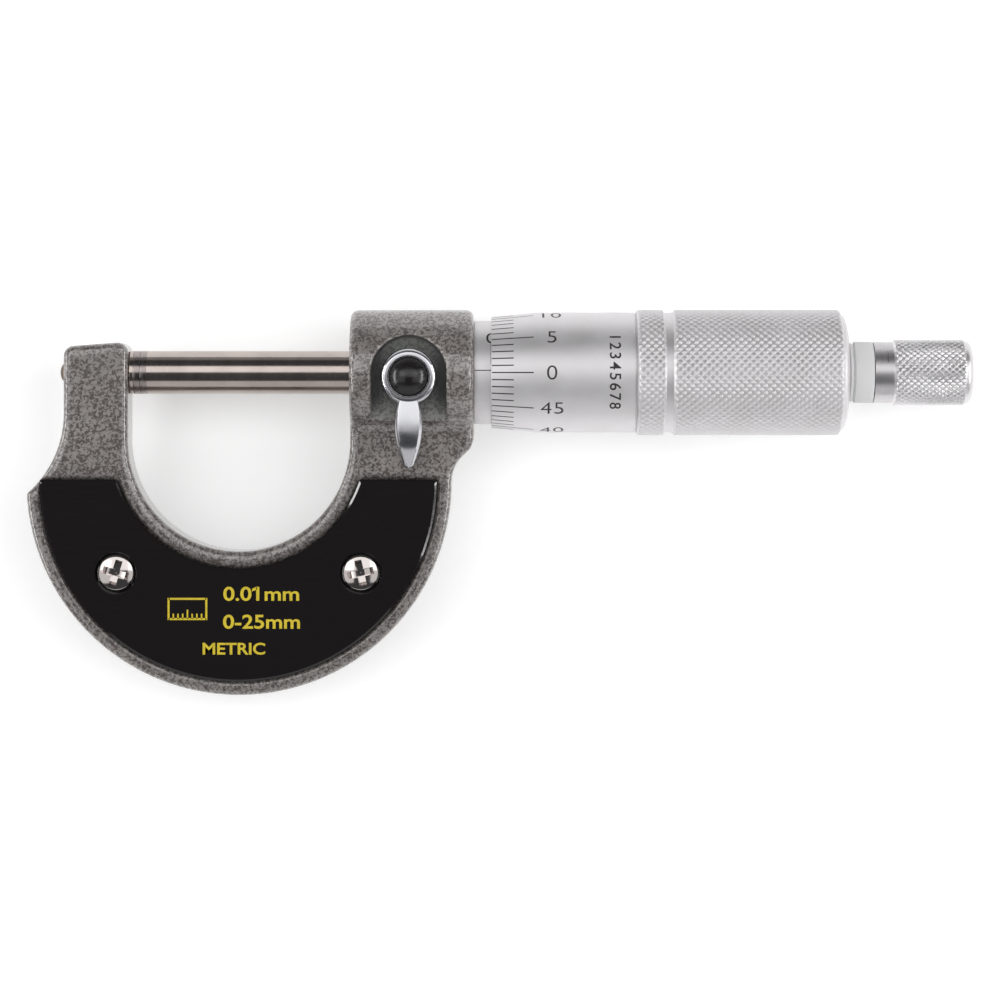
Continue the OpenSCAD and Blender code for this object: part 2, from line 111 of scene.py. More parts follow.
def arc(x, y, radius, start, end, steps):
    """Points along an arc, both ends included, with its angles in degrees."""
    turns = [math.radians(start + (end - start) * i / steps) for i in range(steps + 1)]
    return [(x + radius * math.cos(a), y + radius * math.sin(a)) for a in turns]


def soften(points, radius, steps=4, closed=False):
    """An outline with its corners rounded, and less where a side is short."""
    made = []
    for i, here in enumerate(points):
        if not closed and i in (0, len(points) - 1):
            made.append(tuple(here))
            continue
        corner = Vector(here)
        back = Vector(points[i - 1]) - corner
        ahead = Vector(points[(i + 1) % len(points)]) - corner
        angle = back.angle(ahead)
        if angle > math.radians(172):
            made.append(tuple(here))
            continue
        reach = min(radius / math.tan(angle / 2), back.length * 0.45, ahead.length * 0.45)
        start = corner + back.normalized() * reach
        end = corner + ahead.normalized() * reach
        for k in range(steps + 1):
            t = k / steps
            made.append(tuple(start.lerp(corner, t).lerp(corner.lerp(end, t), t)))
    return made


def saved(name, bm):
    """A mesh of what is being edited."""
    mesh = bpy.data.meshes.new(name)
    bm.to_mesh(mesh)
    bm.free()
    return mesh


def closed_mesh(name, bm):
    """Ends a mesh: doubles merged and faces turned outwards."""
    bmesh.ops.remove_doubles(bm, verts=bm.verts, dist=1e-5)
    bmesh.ops.recalc_face_normals(bm, faces=bm.faces)
    return saved(name, bm)


def stacked(name, layers):
    """A closed skin through outlines of equal count, each a list of (x, y, z) points."""
    bm = bmesh.new()
    rings = [[bm.verts.new(p) for p in layer] for layer in layers]
    for low, high in zip(rings, rings[1:]):
        for i in range(len(low)):
            j = (i + 1) % len(low)
            bm.faces.new((low[i], low[j], high[j], high[i]))
    bm.faces.new(rings[0][::-1])
    bm.faces.new(rings[-1])
    return closed_mesh(name, bm)


def slab(name, outline, low, high):
    """A flat plate of an outline of (x, y) points."""
    return stacked(name, [[(x, y, z) for x, y in outline] for z in (low, high)])


def turned(name, profile, steps=160, ring=False):
    """A piece turned about the spindle's axis, from (x, radius) points. A ring has a bore."""
    bm = bmesh.new()
    angles = [math.tau * i / steps for i in range(steps)]
    hoops = []
    for x, r in profile:
        around = angles if r > 1e-6 else angles[:1]
        hoops.append([bm.verts.new((x, r * math.sin(a), r * math.cos(a))) for a in around])
    if ring:
        hoops.append(hoops[0])
    for a, b in zip(hoops, hoops[1:]):
        for i in range(steps):
            j = (i + 1) % steps
            quad = [a[i % len(a)], a[j % len(a)], b[j % len(b)], b[i % len(b)]]
            face = list(dict.fromkeys(quad))
            if len(face) > 2:
                bm.faces.new(face)
    return closed_mesh(name, bm)


def upright(mesh, x, y):
    """Stands a turned piece up, so that its axis runs along +Z at (x, y)."""
    mesh.transform(Matrix.Translation((x, y, 0)) @ Matrix.Rotation(-math.pi / 2, 4, "Y"))
    return mesh


def baked(obj):
    """The plain mesh that an object's modifiers give. The object goes."""
    graph = bpy.context.evaluated_depsgraph_get()
    mesh = bpy.data.meshes.new_from_object(obj.evaluated_get(graph), depsgraph=graph)
    bpy.data.objects.remove(obj)
    return mesh


def shown(name, mesh):
    """An object for a mesh, at the origin."""
    obj = bpy.data.objects.new(name, mesh)
    bpy.context.collection.objects.link(obj)
    return obj


def combined(operation, mesh, *others):
    """A closed mesh joined with others, or cut by them."""
    for other in others:
        tool = shown("tool", other)
        work = shown("work", mesh)
        step = work.modifiers.new("combine", "BOOLEAN")
        step.operation = operation
        step.solver = "MANIFOLD"
        step.object = tool
        mesh = baked(work)
        bpy.data.objects.remove(tool)
    return mesh


def linear(code, light=1.0):
    """A linear colour from an sRGB hex value, with a share of its light."""
    parts = [int(code[i : i + 2], 16) / 255 for i in (1, 3, 5)]
    true = [c / 12.92 if c <= 0.04045 else ((c + 0.055) / 1.055) ** 2.4 for c in parts]
    return tuple(light * c for c in true) + (1,)


def feed(node, inputs):
    """Sets a node's inputs, or links them. They come in order or by key, and a node given as an
    input stands for its first output."""
    for key, value in inputs.items() if isinstance(inputs, dict) else enumerate(inputs):
        if isinstance(value, bpy.types.Node):
            value = value.outputs[0]
        if isinstance(value, bpy.types.NodeSocket):
            node.id_data.links.new(value, node.inputs[key])
        else:
            node.inputs[key].default_value = value


def add(tree, kind, inputs=(), **settings):
    """Adds a node, makes its settings and feeds its inputs."""
    starts = ("ShaderNode", "GeometryNode", "")
    node = tree.nodes.new(next(s + kind for s in starts if hasattr(bpy.types, s + kind)))
    for key, value in settings.items():
        setattr(node, key, value)
    feed(node, inputs)
    return node


def between(tree, value, start, end, low, high):
    """A colour that passes from one to another as a pattern's value goes from start to end."""
    share = add(tree, "MapRange", (value, start, end))
    # a Mix node's colours are its sixth and seventh sockets, and its third output
    return add(tree, "Mix", {0: share, 6: low, 7: high}, data_type="RGBA").outputs[2]


def new_material(name, **values):
    """A material with one Principled shader, whose constant values are set on its sockets."""
    material = bpy.data.materials.new(name)
    material.use_nodes = True
    tree = material.node_tree
    tree.nodes.clear()
    names = {key.replace("_", " "): value for key, value in values.items()}
    shader = add(tree, "BsdfPrincipled", names)
    add(tree, "OutputMaterial", {"Surface": shader.outputs["BSDF"]})
    place = add(tree, "TexCoord").outputs["Object"]
    return material, tree, shader, place


def hammertone(name, pale, deep, pits_at):
    """Stoved hammertone enamel: pale aluminium scales under a gloss coat, with dark pits about
    0.4 mm wide that run together like worm tracks, 0.02 mm deep."""
    material, tree, shader, place = new_material(
        name, Metallic=0.1, Coat_Weight=1.0, Coat_Roughness=0.1, Coat_IOR=1.7
    )
    pits = add(tree, "TexNoise", {
        "Vector": place, "Scale": 2100, "Detail": 3, "Roughness": 0.6, "Distortion": 0.7,
    })
    cells = add(tree, "TexVoronoi", {
        "Vector": place, "Scale": 1700,
    }, feature="DISTANCE_TO_EDGE")
    depth = add(tree, "Math", (cells, 0.3, pits), operation="MULTIPLY_ADD")
    cloud = add(tree, "TexNoise", {"Vector": place, "Scale": 170, "Detail": 2})
    scales = between(tree, cloud, 0.3, 0.7, linear(pale, 0.84), linear(pale))
    mask = add(tree, "MapRange", (depth, pits_at, pits_at + 0.11, 1.0, 0.0))
    colour = between(tree, mask, 0, 1, scales, linear(deep))
    rough = add(tree, "MapRange", (mask, 0, 1, 0.4, 0.6))
    bump = add(tree, "Bump", {"Height": depth, "Strength": 0.22, "Distance": 0.00008})
    feed(shader, {"Base Color": colour, "Roughness": rough, "Normal": bump})
    return material, tree, shader, colour


def cavity_paint():
    """The same enamel in the lock's pocket, darker as painted shade for the recess, with painted
    shade along the wall's foot and beside the lever's ring, lifting towards the open end."""
    # the pocket's darker colours are painted shade for the recess
    material, tree, shader, colour = hammertone(
        "hammertone_enamel_with_painted_pocket_shade", "#5f625d", "#3f413e", 0.45
    )
    place = add(tree, "TexCoord")
    apart = add(tree, "SeparateXYZ", (place.outputs["Object"],)).outputs
    across = add(tree, "Math", (apart["X"], LOCK_X * MM), operation="SUBTRACT")
    up = add(tree, "Math", (apart["Y"], (LOCK_Y + 0.5) * MM), operation="SUBTRACT")
    above = add(tree, "Math", (up, 0.0), operation="MAXIMUM")
    from_axis = add(tree, "CombineXYZ", {"X": across, "Y": above})
    reach = add(tree, "VectorMath", (from_axis,), operation="LENGTH")
    # painted shade: a thin dark line at the foot of the arch's wall
    wall_foot_shade = add(tree, "MapRange", (reach.outputs["Value"], 5.1 * MM, 5.45 * MM))
    aside = add(tree, "Math", (across,), operation="ABSOLUTE")
    # painted shade in the gap between the lever's ring and the pocket's wall, fading out higher up
    gap = add(tree, "MapRange", (aside, 3.5 * MM, 4.5 * MM))
    below = add(tree, "MapRange", (apart["Y"], 4.4 * MM, 1.2 * MM))
    shaded = add(tree, "Math", (gap, below), operation="MULTIPLY")
    both = add(tree, "Math", (wall_foot_shade, shaded), operation="MAXIMUM")
    ending = add(tree, "MapRange", (apart["Y"], -6.4 * MM, -3.4 * MM))
    painted_shade = add(tree, "Math", (both, ending), operation="MULTIPLY")
    # towards the pocket's open lower end the colour is lifted back, so there is less painted shade
    open_end = add(tree, "MapRange", (apart["Y"], -3.6 * MM, -6.7 * MM))
    shade_lifted_colour = add(tree, "Mix", {
        0: open_end, 6: colour, 7: (2.45, 2.25, 2.3, 1),
    }, data_type="RGBA", blend_type="MULTIPLY")
    # the painted shade darkens the colour to near black
    shade_painted_colour = between(tree, painted_shade, 0, 1, shade_lifted_colour.outputs[2], linear("#161716"))
    feed(shader, {"Base Color": shade_painted_colour})
    return material


def machined(name, colour, roughness, along="X", spacing=0.12, depth=0.35):
    """Bare steel from a lathe or a grinder: fine rings round the axis, spacing mm apart, that
    spread the light a little along it. The true rings are finer and wouldn't show."""
    material, tree, shader, place = new_material(name, Metallic=1.0, Roughness=roughness)
    stretch = {"X": (1, 0.02, 0.02), "Z": (0.02, 0.02, 1)}[along]
    squeezed = add(tree, "Mapping", {"Vector": place, "Scale": stretch})
    rings = add(tree, "TexNoise", {"Vector": squeezed, "Scale": 1 / (spacing * MM), "Detail": 3})
    stain = add(tree, "TexNoise", {"Vector": place, "Scale": 220, "Detail": 3})
    tint = between(tree, stain, 0.35, 0.65, linear(colour, 0.86), linear(colour))
    gloss = add(tree, "MapRange", (rings, 0.3, 0.7, roughness * 0.8, roughness * 1.25))
    bump = add(tree, "Bump", {"Height": rings, "Strength": depth, "Distance": 0.00001})
    feed(shader, {"Base Color": tint, "Roughness": gloss, "Normal": bump})
    return material


def piece(name, mesh, material, body, slot, *nodes, level=False):
    """Shows a mesh drawn in millimetres, on its body, in place of the nodes it stands for. A
    level piece has flat faces, which its rounded rim mustn't shade."""
    mesh.transform(Matrix.Scale(MM, 4))
    if len(mesh.materials) < 2:
        mesh.materials.clear()
        mesh.materials.append(material)
    mesh.polygons.foreach_set("use_smooth", [True] * len(mesh.polygons))
    mesh.set_sharp_from_angle(angle=math.radians(32))
    if level:
        curved = [abs(face.normal.z) < 0.9999 for face in mesh.polygons]
        mesh.polygons.foreach_set("use_smooth", curved)
    obj = shown(name, mesh)
    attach(obj, body)
    if nodes:
        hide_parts(*nodes)
    return obj


def frame_outline(inset):
    """The casting from the front, drawn in by an inset from its walls."""
    bow_r = BOW_R - inset
    ear_r = EAR_R + inset
    shoulder_r = SHOULDER_R + inset
    ear_x = ARM_LEFT - EAR_R
    shoulder_x = BOW_X + BOW_R + SHOULDER_R
    # where the ear's hollow meets the bow
    gap = Vector((ear_x - BOW_X, EAR_Y - BOW_Y))
    along = (bow_r**2 - ear_r**2 + gap.length_squared) / (2 * gap.length)
    aside = math.sqrt(bow_r**2 - along**2)
    unit = gap.normalized()
    tip = Vector((BOW_X, BOW_Y)) + unit * along + Vector((-unit.y, unit.x)) * aside
    tip_on_bow = math.degrees(math.atan2(tip.y - BOW_Y, tip.x - BOW_X))
    tip_on_ear = math.degrees(math.atan2(tip.y - EAR_Y, tip.x - ear_x))
    right = BOSS_RIGHT - inset
    start = 180 - math.degrees(math.acos((shoulder_x - right) / shoulder_r))
    corner = Vector((right, BOW_Y + shoulder_r * math.sin(math.radians(start))))
    start += 20
    above = corner + Vector((0, 1.8))
    below = Vector(arc(shoulder_x, BOW_Y, shoulder_r, start, 180, 1)[0])
    bend = [above.lerp(corner, t / 8).lerp(corner.lerp(below, t / 8), t / 8) for t in range(8)]
    left, inner = ARM_LEFT + inset, ARM_RIGHT - inset
    corner_r = ARM_CORNER_R - inset
    return (
        [(right, 0)]
        + [tuple(point) for point in bend]
        + arc(shoulder_x, BOW_Y, shoulder_r, start, 180, 12)
        + arc(BOW_X, BOW_Y, bow_r, 0, tip_on_bow, 150)[1:]
        + arc(ear_x, EAR_Y, ear_r, tip_on_ear, 0, 30)[1:]
        + arc(left + corner_r, ARM_TOP_LEFT - ARM_CORNER_R, corner_r, 180, 93, 8)
        + arc(inner - corner_r, ARM_TOP_RIGHT - ARM_CORNER_R, corner_r, 93, 0, 8)
        + arc(BOW_X, THROAT_Y, THROAT_R + inset, 180, 360, 90)
        + [(BOSS_LEFT + inset, 0)]
    )


def plate_outline(grow=0.0, corner=0.7):
    """A cover plate from the front, grown by a gap for its pocket."""
    outer = PLATE_R + grow
    inner = PLATE_HOLLOW_R - grow
    top = plate_high.y + grow
    reach = math.degrees(math.asin((top - BOW_Y) / outer))
    hollow = math.degrees(math.asin((top - THROAT_Y) / inner))
    outline = (
        arc(BOW_X, BOW_Y, outer, reach, -180 - reach, 120)
        + arc(BOW_X, THROAT_Y, inner, 180 - hollow, 360 + hollow, 90)
    )
    return soften(outline, corner, closed=True)


steps = [math.radians(15 * k) for k in range(7)]
upper = [(EDGE_R * (1 - math.sin(a)), HALF_T - EDGE_R + EDGE_R * math.cos(a)) for a in steps]
layers = [(inset, -z) for inset, z in upper] + [(inset, z) for inset, z in reversed(upper)]
bow = stacked("bow", [[(x, y, z) for x, y in frame_outline(inset)] for inset, z in layers])
boss = turned("boss", soften(
    [(BOSS_LEFT, 0), (BOSS_LEFT, BOSS_R), (BOSS_RIGHT, BOSS_R), (BOSS_RIGHT, 0)], 1.3, 6
))
fillet_z = HALF_T + BOSS_FILLET
fillet_y = -math.sqrt((BOSS_R + BOSS_FILLET) ** 2 - fillet_z**2)
touch_angle = math.degrees(math.atan2(-fillet_z, -fillet_y))
web = arc(fillet_y, fillet_z, BOSS_FILLET, touch_angle, -90, 12)
web = [(0, HALF_T)] + web + [(y, -z) for y, z in reversed(web)] + [(0, -HALF_T)]
neck = stacked("neck", [
    [(x, y, z) for y, z in web] for x in (BOSS_LEFT + 1.2, BOSS_RIGHT - 1.2)
])
pockets = [
    slab("pocket", plate_outline(0.12), PLATE_POCKET_Z, BOSS_R),
    slab("pocket", plate_outline(0.12), -BOSS_R, -PLATE_POCKET_Z),
    slab("pocket", arc(LOCK_X, LOCK_Y + 0.5, POCKET_R, 0, 180, 40)
         + [(LOCK_X - POCKET_R, -2 * BOSS_R), (LOCK_X + POCKET_R, -2 * BOSS_R)],
         LOCK_FLOOR, 2 * BOSS_R),
]
casting = combined("UNION", bow, boss, neck)
casting = combined("DIFFERENCE", casting, *pockets)
rough = shown("casting", casting)
skin = rough.modifiers.new("skin", "REMESH")
skin.mode = "VOXEL"
skin.voxel_size = 0.3
fettled = rough.modifiers.new("fettled", "SMOOTH")
fettled.factor = 0.5
fettled.iterations = 3
casting = baked(rough)

bore_steel = machined("reamed_steel_bore", "#8d8985", 0.3)
GUIDE_R = 3.28
guide_end = corners("inner_barrel")[0].x
bores = [
    turned("guide", [
        (BOSS_LEFT - 2, 0), (BOSS_LEFT - 2, GUIDE_R), (guide_end, GUIDE_R), (guide_end, 5.5),
        (BOSS_RIGHT + 2, 5.5), (BOSS_RIGHT + 2, 0),
    ], 96),
    turned("anvil_hole", [
        (ARM_LEFT - 2, 0), (ARM_LEFT - 2, 1.5), (ARM_RIGHT - 5.3, 1.5),
        (ARM_RIGHT - 5.3, ANVIL_R), (ARM_RIGHT + 1, ANVIL_R), (ARM_RIGHT + 1, 0),
    ], 64),
    upright(turned("lock_hole", [
        (0, 0), (0, PAD_HOLE_R), (4.67, PAD_HOLE_R), (4.67, LOCK_HOLE_R), (8, LOCK_HOLE_R), (8, 0),
    ], 64), LOCK_X, LOCK_Y),
]
for side in (-SCREW_X, SCREW_X):
    hole = [(-8, 0), (-8, SCREW_HOLE_R), (8, SCREW_HOLE_R), (8, 0)]
    drill = turned("screw_hole", hole, 32)
    bores.append(upright(drill, BOW_X + side, SCREW_Y))
paint = hammertone("grey_hammertone_enamel", "#938d89", "#514946", 0.475)[0]
# the enamel for the lock's pocket, darkened with painted shade
pocket_shaded_paint = cavity_paint()
# the pocket's floor and lower walls, which get the enamel with painted shade
well = slab("well", arc(LOCK_X, LOCK_Y + 0.5, POCKET_R - 0.05, 0, 180, 60)
            + [(LOCK_X - POCKET_R + 0.05, LOCK_Y - 6.4), (LOCK_X + POCKET_R - 0.05, LOCK_Y - 6.4)],
            LOCK_FLOOR - 0.06, 2 * BOSS_R)
for number, cutters in ((1, bores), (2, [well])):
    for cutter in cutters:
        cutter.polygons.foreach_set("material_index", [number] * len(cutter.polygons))
casting.materials.clear()
for finish in (paint, bore_steel, pocket_shaded_paint):
    casting.materials.append(finish)
casting = combined("DIFFERENCE", casting, well, *bores)
piece("frame_casting", casting, paint, "frame", "hammer_paint", "frame")

# -------- anvil
# The fixed jaw: a hardened steel plug pressed into the short arm, ground on its face and rim,
# with a thin tail that shows as a dark dome on the far side. A carbide disc 1 mm thick is
# brazed to it and lapped flat.
TIP_L = 1.0
JAW_R = anvil_high.z
steel = machined("ground_tool_steel", "#bdb2ac", 0.16, spacing=0.2)
carbide = machined("lapped_tungsten_carbide", "#9f9693", 0.2, spacing=0.3)
dome = [(anvil_low.x + 0.9 * (1 - math.cos(a)), 1.5 * math.sin(a))
        for a in (math.radians(9 * k) for k in range(11))]
anvil = turned("anvil", dome + soften([
    (ARM_RIGHT - 5.3, 1.5), (ARM_RIGHT - 5.3, ANVIL_R), (ARM_RIGHT, ANVIL_R),
    (ARM_RIGHT, JAW_R - 0.15),
    (ARM_RIGHT + 0.15, JAW_R), (-TIP_L, JAW_R), (-TIP_L, 0),
], 0.05, 2))
blackened = machined("oil_blackened_steel", "#6a5d54", 0.35)
anvil.materials.append(steel)
anvil.materials.append(blackened)
tail_faces = [int(face.center.x < ARM_LEFT + 1) for face in anvil.polygons]
anvil.polygons.foreach_set("material_index", tail_faces)
piece("anvil_plug", anvil, steel, "frame", "ground_steel", "anvil")
anvil_tip = turned("anvil_tip", soften(
    [(-TIP_L, 0), (-TIP_L, JAW_R), (0, JAW_R), (0, 0)], 0.08, 3
))
piece("anvil_carbide", anvil_tip, carbide, "frame", "carbide", "anvil_tip")

# -------- cover plates
# Two black moulded phenolic plates that keep the hand's warmth from the frame. Each lies in its
# pocket with a fine gap, is polished to a deep gloss, and has a chamfered rim that catches a
# thin line of light. Two counterbored holes take its screws.
PLATE_CHAMFER = 0.3
HEAD_SEAT_Z = 4.25


def black_gloss(name, roughness):
    """Polished black phenolic: a hard gloss with the faint hairlines that wiping leaves."""
    material, tree, shader, place = new_material(
        name, Base_Color=linear("#1a1718"), IOR=1.52, Specular_IOR_Level=0.5
    )
    stretched = add(tree, "Mapping", {
        "Vector": place, "Rotation": (0, 0, 0.6), "Scale": (0.06, 1, 1),
    })
    hair = add(tree, "TexNoise", {"Vector": stretched, "Scale": 3200, "Detail": 2})
    gloss = add(tree, "MapRange", (hair, 0.45, 0.75, roughness, roughness * 1.8))
    feed(shader, {"Roughness": gloss})
    return material


black = black_gloss("polished_black_phenolic", 0.07)
rim = [(0.0, plate_low.z), (0.0, plate_high.z - 0.7 * PLATE_CHAMFER),
       (PLATE_CHAMFER, plate_high.z)]
plate = stacked("plate", [
    [(x, y, z) for x, y in plate_outline(-inset, max(0.15, 0.8 - inset))] for inset, z in rim
])
seats = [
    upright(turned("seat", [
        (0, 0), (0, 1.65), (HEAD_SEAT_Z, 1.65), (HEAD_SEAT_Z, 3.05),
        (plate_high.z - 0.12, 3.05), (plate_high.z + 0.12, 3.29), (8, 3.29), (8, 0),
    ], 64), BOW_X + side, SCREW_Y)
    for side in (-SCREW_X, SCREW_X)
]
plate = combined("DIFFERENCE", plate, *seats)


def to_back(mesh):
    """A copy of a front piece, turned over to the back."""
    copy = mesh.copy()
    copy.transform(Matrix.Scale(-1, 4, (0, 0, 1)))
    copy.flip_normals()
    return copy


back = to_back(plate)
piece("plate_front", plate, black, "frame", "black_plate", "front_plate", level=True)
piece("plate_back", back, black, "frame", "black_plate", "back_plate", level=True)

# -------- printing
# Yellow ink, pad-printed on the front plate: the reading, the range, a plain rule and a word.
# The ink stands 0.02 mm proud and has a dull, slightly uneven skin.
INK_T = 0.02


def lettering(text, height, weight=0.0, spacing=1.0, width=1.0):
    """Flat letters of a given height, centred on the origin, as a thin closed mesh. Their
    width is a factor."""
    curve = bpy.data.curves.new("letters", "FONT")
    curve.body = text
    curve.align_x = "CENTER"
    curve.size = height / 0.73
    curve.offset = weight
    curve.extrude = INK_T / 2
    curve.space_character = spacing
    curve.resolution_u = 5
    obj = shown("letters", curve)
    mesh = baked(obj)
    tall = [v.co.y for v in mesh.vertices]
    across = [v.co.x for v in mesh.vertices]
    middle = Vector((min(across) + max(across), min(tall) + max(tall), 0)) / 2
    mesh.transform(Matrix.Diagonal((width, 1, 1, 1)) @ Matrix.Translation(-middle))
    return mesh


def joined(name, meshes):
    """Several meshes as one."""
    bm = bmesh.new()
    for mesh in meshes:
        bm.from_mesh(mesh)
    bmesh.ops.remove_doubles(bm, verts=bm.verts, dist=1e-5)
    return saved(name, bm)


def ink(name, code, roughness):
    """Printing ink or engraver's filling: dull, and a little uneven where it has dried."""
    material, tree, shader, place = new_material(name, Roughness=roughness)
    cloud = add(tree, "TexNoise", {"Vector": place, "Scale": 900, "Detail": 3})
    tint = between(tree, cloud, 0.3, 0.6, linear(code, 0.82), linear(code))
    feed(shader, {"Base Color": tint})
    return material


yellow = ink("yellow_printing_ink", "#dec62a", 0.5)


def oblong(x, y, width, height):
    """The four corners of an oblong, centred at (x, y)."""
    return [(x + side * width / 2, y + end * height / 2)
            for side, end in ((-1, -1), (1, -1), (1, 1), (-1, 1))]


def bar(x, y, width, height):
    """A thin bar of ink, centred at (x, y)."""
    return slab("bar", oblong(x, y, width, height), -INK_T / 2, INK_T / 2)


printed = []
for text, x, y, height, width in (
    ("0.01mm", 18.35, -32.85, 2.1, 1.22), ("0-25mm", 18.4, -37.0, 2.1, 1.2),
    ("METRIC", 14.3, -41.0, 1.75, 1.15),
):
    word = lettering(text, height, 0.05, 1.0, width)
    word.transform(Matrix.Translation((x, y, 0)))
    printed.append(word)
# the typeface's 1 is a plain bar, so it gets its flag
printed.append(slab("flag", [(17.75, -31.73), (17.0, -32.1), (17.0, -32.5), (17.75, -32.22)],
                    -INK_T / 2, INK_T / 2))
RULE_X, RULE_Y, RULE_W, RULE_H = 7.4, -35.1, 5.6, 3.0
printed += [bar(RULE_X, RULE_Y + side * RULE_H / 2, RULE_W, 0.3) for side in (-1, 1)]
printed += [bar(RULE_X + side * RULE_W / 2, RULE_Y, 0.3, RULE_H + 0.3) for side in (-1, 1)]
for i in range(1, 8):
    tick = 1.4 if i % 4 == 0 else 0.8
    tick_x = RULE_X - RULE_W / 2 + i * RULE_W / 8
    printed.append(bar(tick_x, RULE_Y - RULE_H / 2 + tick / 2, 0.22, tick))
print_mesh = joined("printing", printed)
print_mesh.transform(Matrix.Translation((0, 0, plate_high.z + INK_T / 2)))
piece("plate_printing", print_mesh, yellow, "frame", "black_plate")

# -------- plate screws
# M3 pan-head screws with a cross recess, nickel plated, two in each plate. The head's dome just
# clears the plate's face, and the recess has four tapered wings and a pointed bottom.
HEAD_R = 2.8
HEAD_H = 1.35
RECESS_REACH = 2.3
SHANK_END = 0.65


def new_tree(name, **inputs):
    """A geometry tree with the inputs that every tree here has, and its own."""
    tree = bpy.data.node_groups.new(name, "GeometryNodeTree")
    face = tree.interface
    for key, kind in ({"Geometry": "Geometry", "Finish": "Material"} | inputs).items():
        name = key.replace("_", " ")
        face.new_socket(name, in_out="INPUT", socket_type="NodeSocket" + kind)
    face.new_socket("Geometry", in_out="OUTPUT", socket_type="NodeSocketGeometry")
    return tree, add(tree, "NodeGroupInput").outputs


def ended(tree, given, shape):
    """Ends a tree with its shape, made real and in its finish."""
    real = add(tree, "RealizeInstances", (shape,))
    done = add(tree, "SetMaterial", {"Geometry": real, "Material": given["Finish"]})
    add(tree, "NodeGroupOutput", (done,))
    return tree


def copies_tree():
    """Sets copies of a piece at even strides, each turned a step further than the last."""
    tree, given = new_tree(
        "even_copies", Count="Int", First="Vector", Stride="Vector", Turn="Vector"
    )
    row = add(tree, "MeshLine", {
        "Count": given["Count"], "Start Location": given["First"], "Offset": given["Stride"],
    })
    number = add(tree, "InputIndex")
    spin = add(tree, "VectorMath", {0: given["Turn"], "Scale": number}, operation="SCALE")
    placed = add(tree, "InstanceOnPoints", {
        "Points": row, "Instance": given["Geometry"], "Rotation": spin,
    })
    return ended(tree, given, placed)


def grown(mesh, tree, values):
    """The plain mesh that a tree makes of a mesh, with its named inputs set first."""
    obj = shown(tree.name, mesh)
    step = obj.modifiers.new(tree.name, "NODES")
    step.node_group = tree
    for item in tree.interface.items_tree:
        if item.in_out == "INPUT" and item.name in values:
            step[item.identifier] = values[item.name]
    return baked(obj)


def plated(name, code, roughness):
    """Bright plating over steel: mirror-like, with faint orange peel and finger marks."""
    material, tree, shader, place = new_material(
        name, Base_Color=linear(code), Metallic=1.0, Roughness=roughness
    )
    marks = add(tree, "TexNoise", {"Vector": place, "Scale": 420, "Detail": 4})
    gloss = add(tree, "MapRange", (marks, 0.3, 0.8, roughness * 0.9, roughness * 1.3))
    bump = add(tree, "Bump", {"Height": marks, "Strength": 0.03, "Distance": 0.00005})
    feed(shader, {"Roughness": gloss, "Normal": bump})
    return material


nickel = plated("bright_nickel_plating", "#c9c2bf", 0.1)
CROWN_H = 0.5
ball = (HEAD_R**2 + CROWN_H**2) / (2 * CROWN_H)
top = HEAD_SEAT_Z + HEAD_H
crown = arc(top - ball, 0, ball, math.degrees(math.asin((HEAD_R - 0.25) / ball)), 0, 12)
shank = [(SHANK_END, 0), (SHANK_END, 1.1), (SHANK_END + 0.4, 1.5), (HEAD_SEAT_Z, 1.5),
         (HEAD_SEAT_Z, HEAD_R - 0.1), (HEAD_SEAT_Z + 0.1, HEAD_R), (top - CROWN_H - 0.3, HEAD_R),
         (top - CROWN_H - 0.05, HEAD_R - 0.06)]
screw = upright(turned("screw", shank + crown, 96), 0, 0)
for turn in (-16, 74):
    wing = stacked("wing", [
        [(x, y, top - down) for x, y in oblong(0, 0, length, width)]
        for length, width, down in ((1.2, 0.8, 1.2), (2.8, 0.96, 0.95), (4.5, 1.12, -0.1))
    ])
    wing.transform(Matrix.Rotation(math.radians(turn), 4, "Z"))
    screw = combined("DIFFERENCE", screw, wing)
pit = upright(turned("pit", [
    (top - 1.25, 0), (top - 0.85, 0.62), (top + 0.3, 0.85), (top + 0.3, 0),
], 24), 0, 0)
screw = combined("DIFFERENCE", screw, pit)
copies = copies_tree()
screws = grown(screw, copies, {
    "Count": 2, "First": (BOW_X - SCREW_X, SCREW_Y, 0.0), "Stride": (2 * SCREW_X, 0.0, 0.0),
    "Turn": (0.0, 0.0, 0.5), "Finish": nickel,
})
# the cross recess's dark colour is painted shade in the hollow; its higher roughness is the finish
recess = new_material(
    "screw_recess_with_painted_shade", Base_Color=linear("#574c4a"), Metallic=1.0, Roughness=0.45
)[0]
screws.materials.append(recess)
for face in screws.polygons:
    reach = math.hypot(abs(face.center.x - BOW_X) - SCREW_X, face.center.y - SCREW_Y)
    dome_z = top - ball + math.sqrt(ball**2 - min(reach, RECESS_REACH) ** 2)
    if reach < RECESS_REACH and HEAD_SEAT_Z - 0.2 < face.center.z < dome_z - 0.06:
        face.material_index = 1
back_screws = to_back(screws)
piece("screws_front", screws, nickel, "frame", "nickel_screw", "front_plate_screws")
piece("screws_back", back_screws, nickel, "frame", "nickel_screw", "back_plate_screws")

# -------- barrel and adjusting nut
# The steel barrel is pressed into the boss and carries the screw; its slotted end is closed by
# a nut to take up wear. Both sit under the sleeve and the thimble, and keep their turned finish.
turned_steel = machined("fine_turned_steel", "#9a9793", 0.28, spacing=0.15, depth=0.6)


def refinish(material, *nodes):
    """Gives designed nodes that are shown as they are a material."""
    for name in nodes:
        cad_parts[name].data.materials.clear()
        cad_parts[name].data.materials.append(material)


refinish(turned_steel, "inner_barrel", "adjusting_nut")

# -------- sleeve
# A thin steel tube, satin chromed, that grips the barrel. A datum line runs along it, with
# millimetres above and half millimetres below. The lines are engraved and filled with black.
sleeve_low, sleeve_high = corners("sleeve")
thimble_low, thimble_high = corners("thimble")
ZERO_X = thimble_low.x
SLEEVE_R = sleeve_high.z
SLEEVE_BORE = 7.03
LINE_T = 0.012
DATUM_W = 0.14


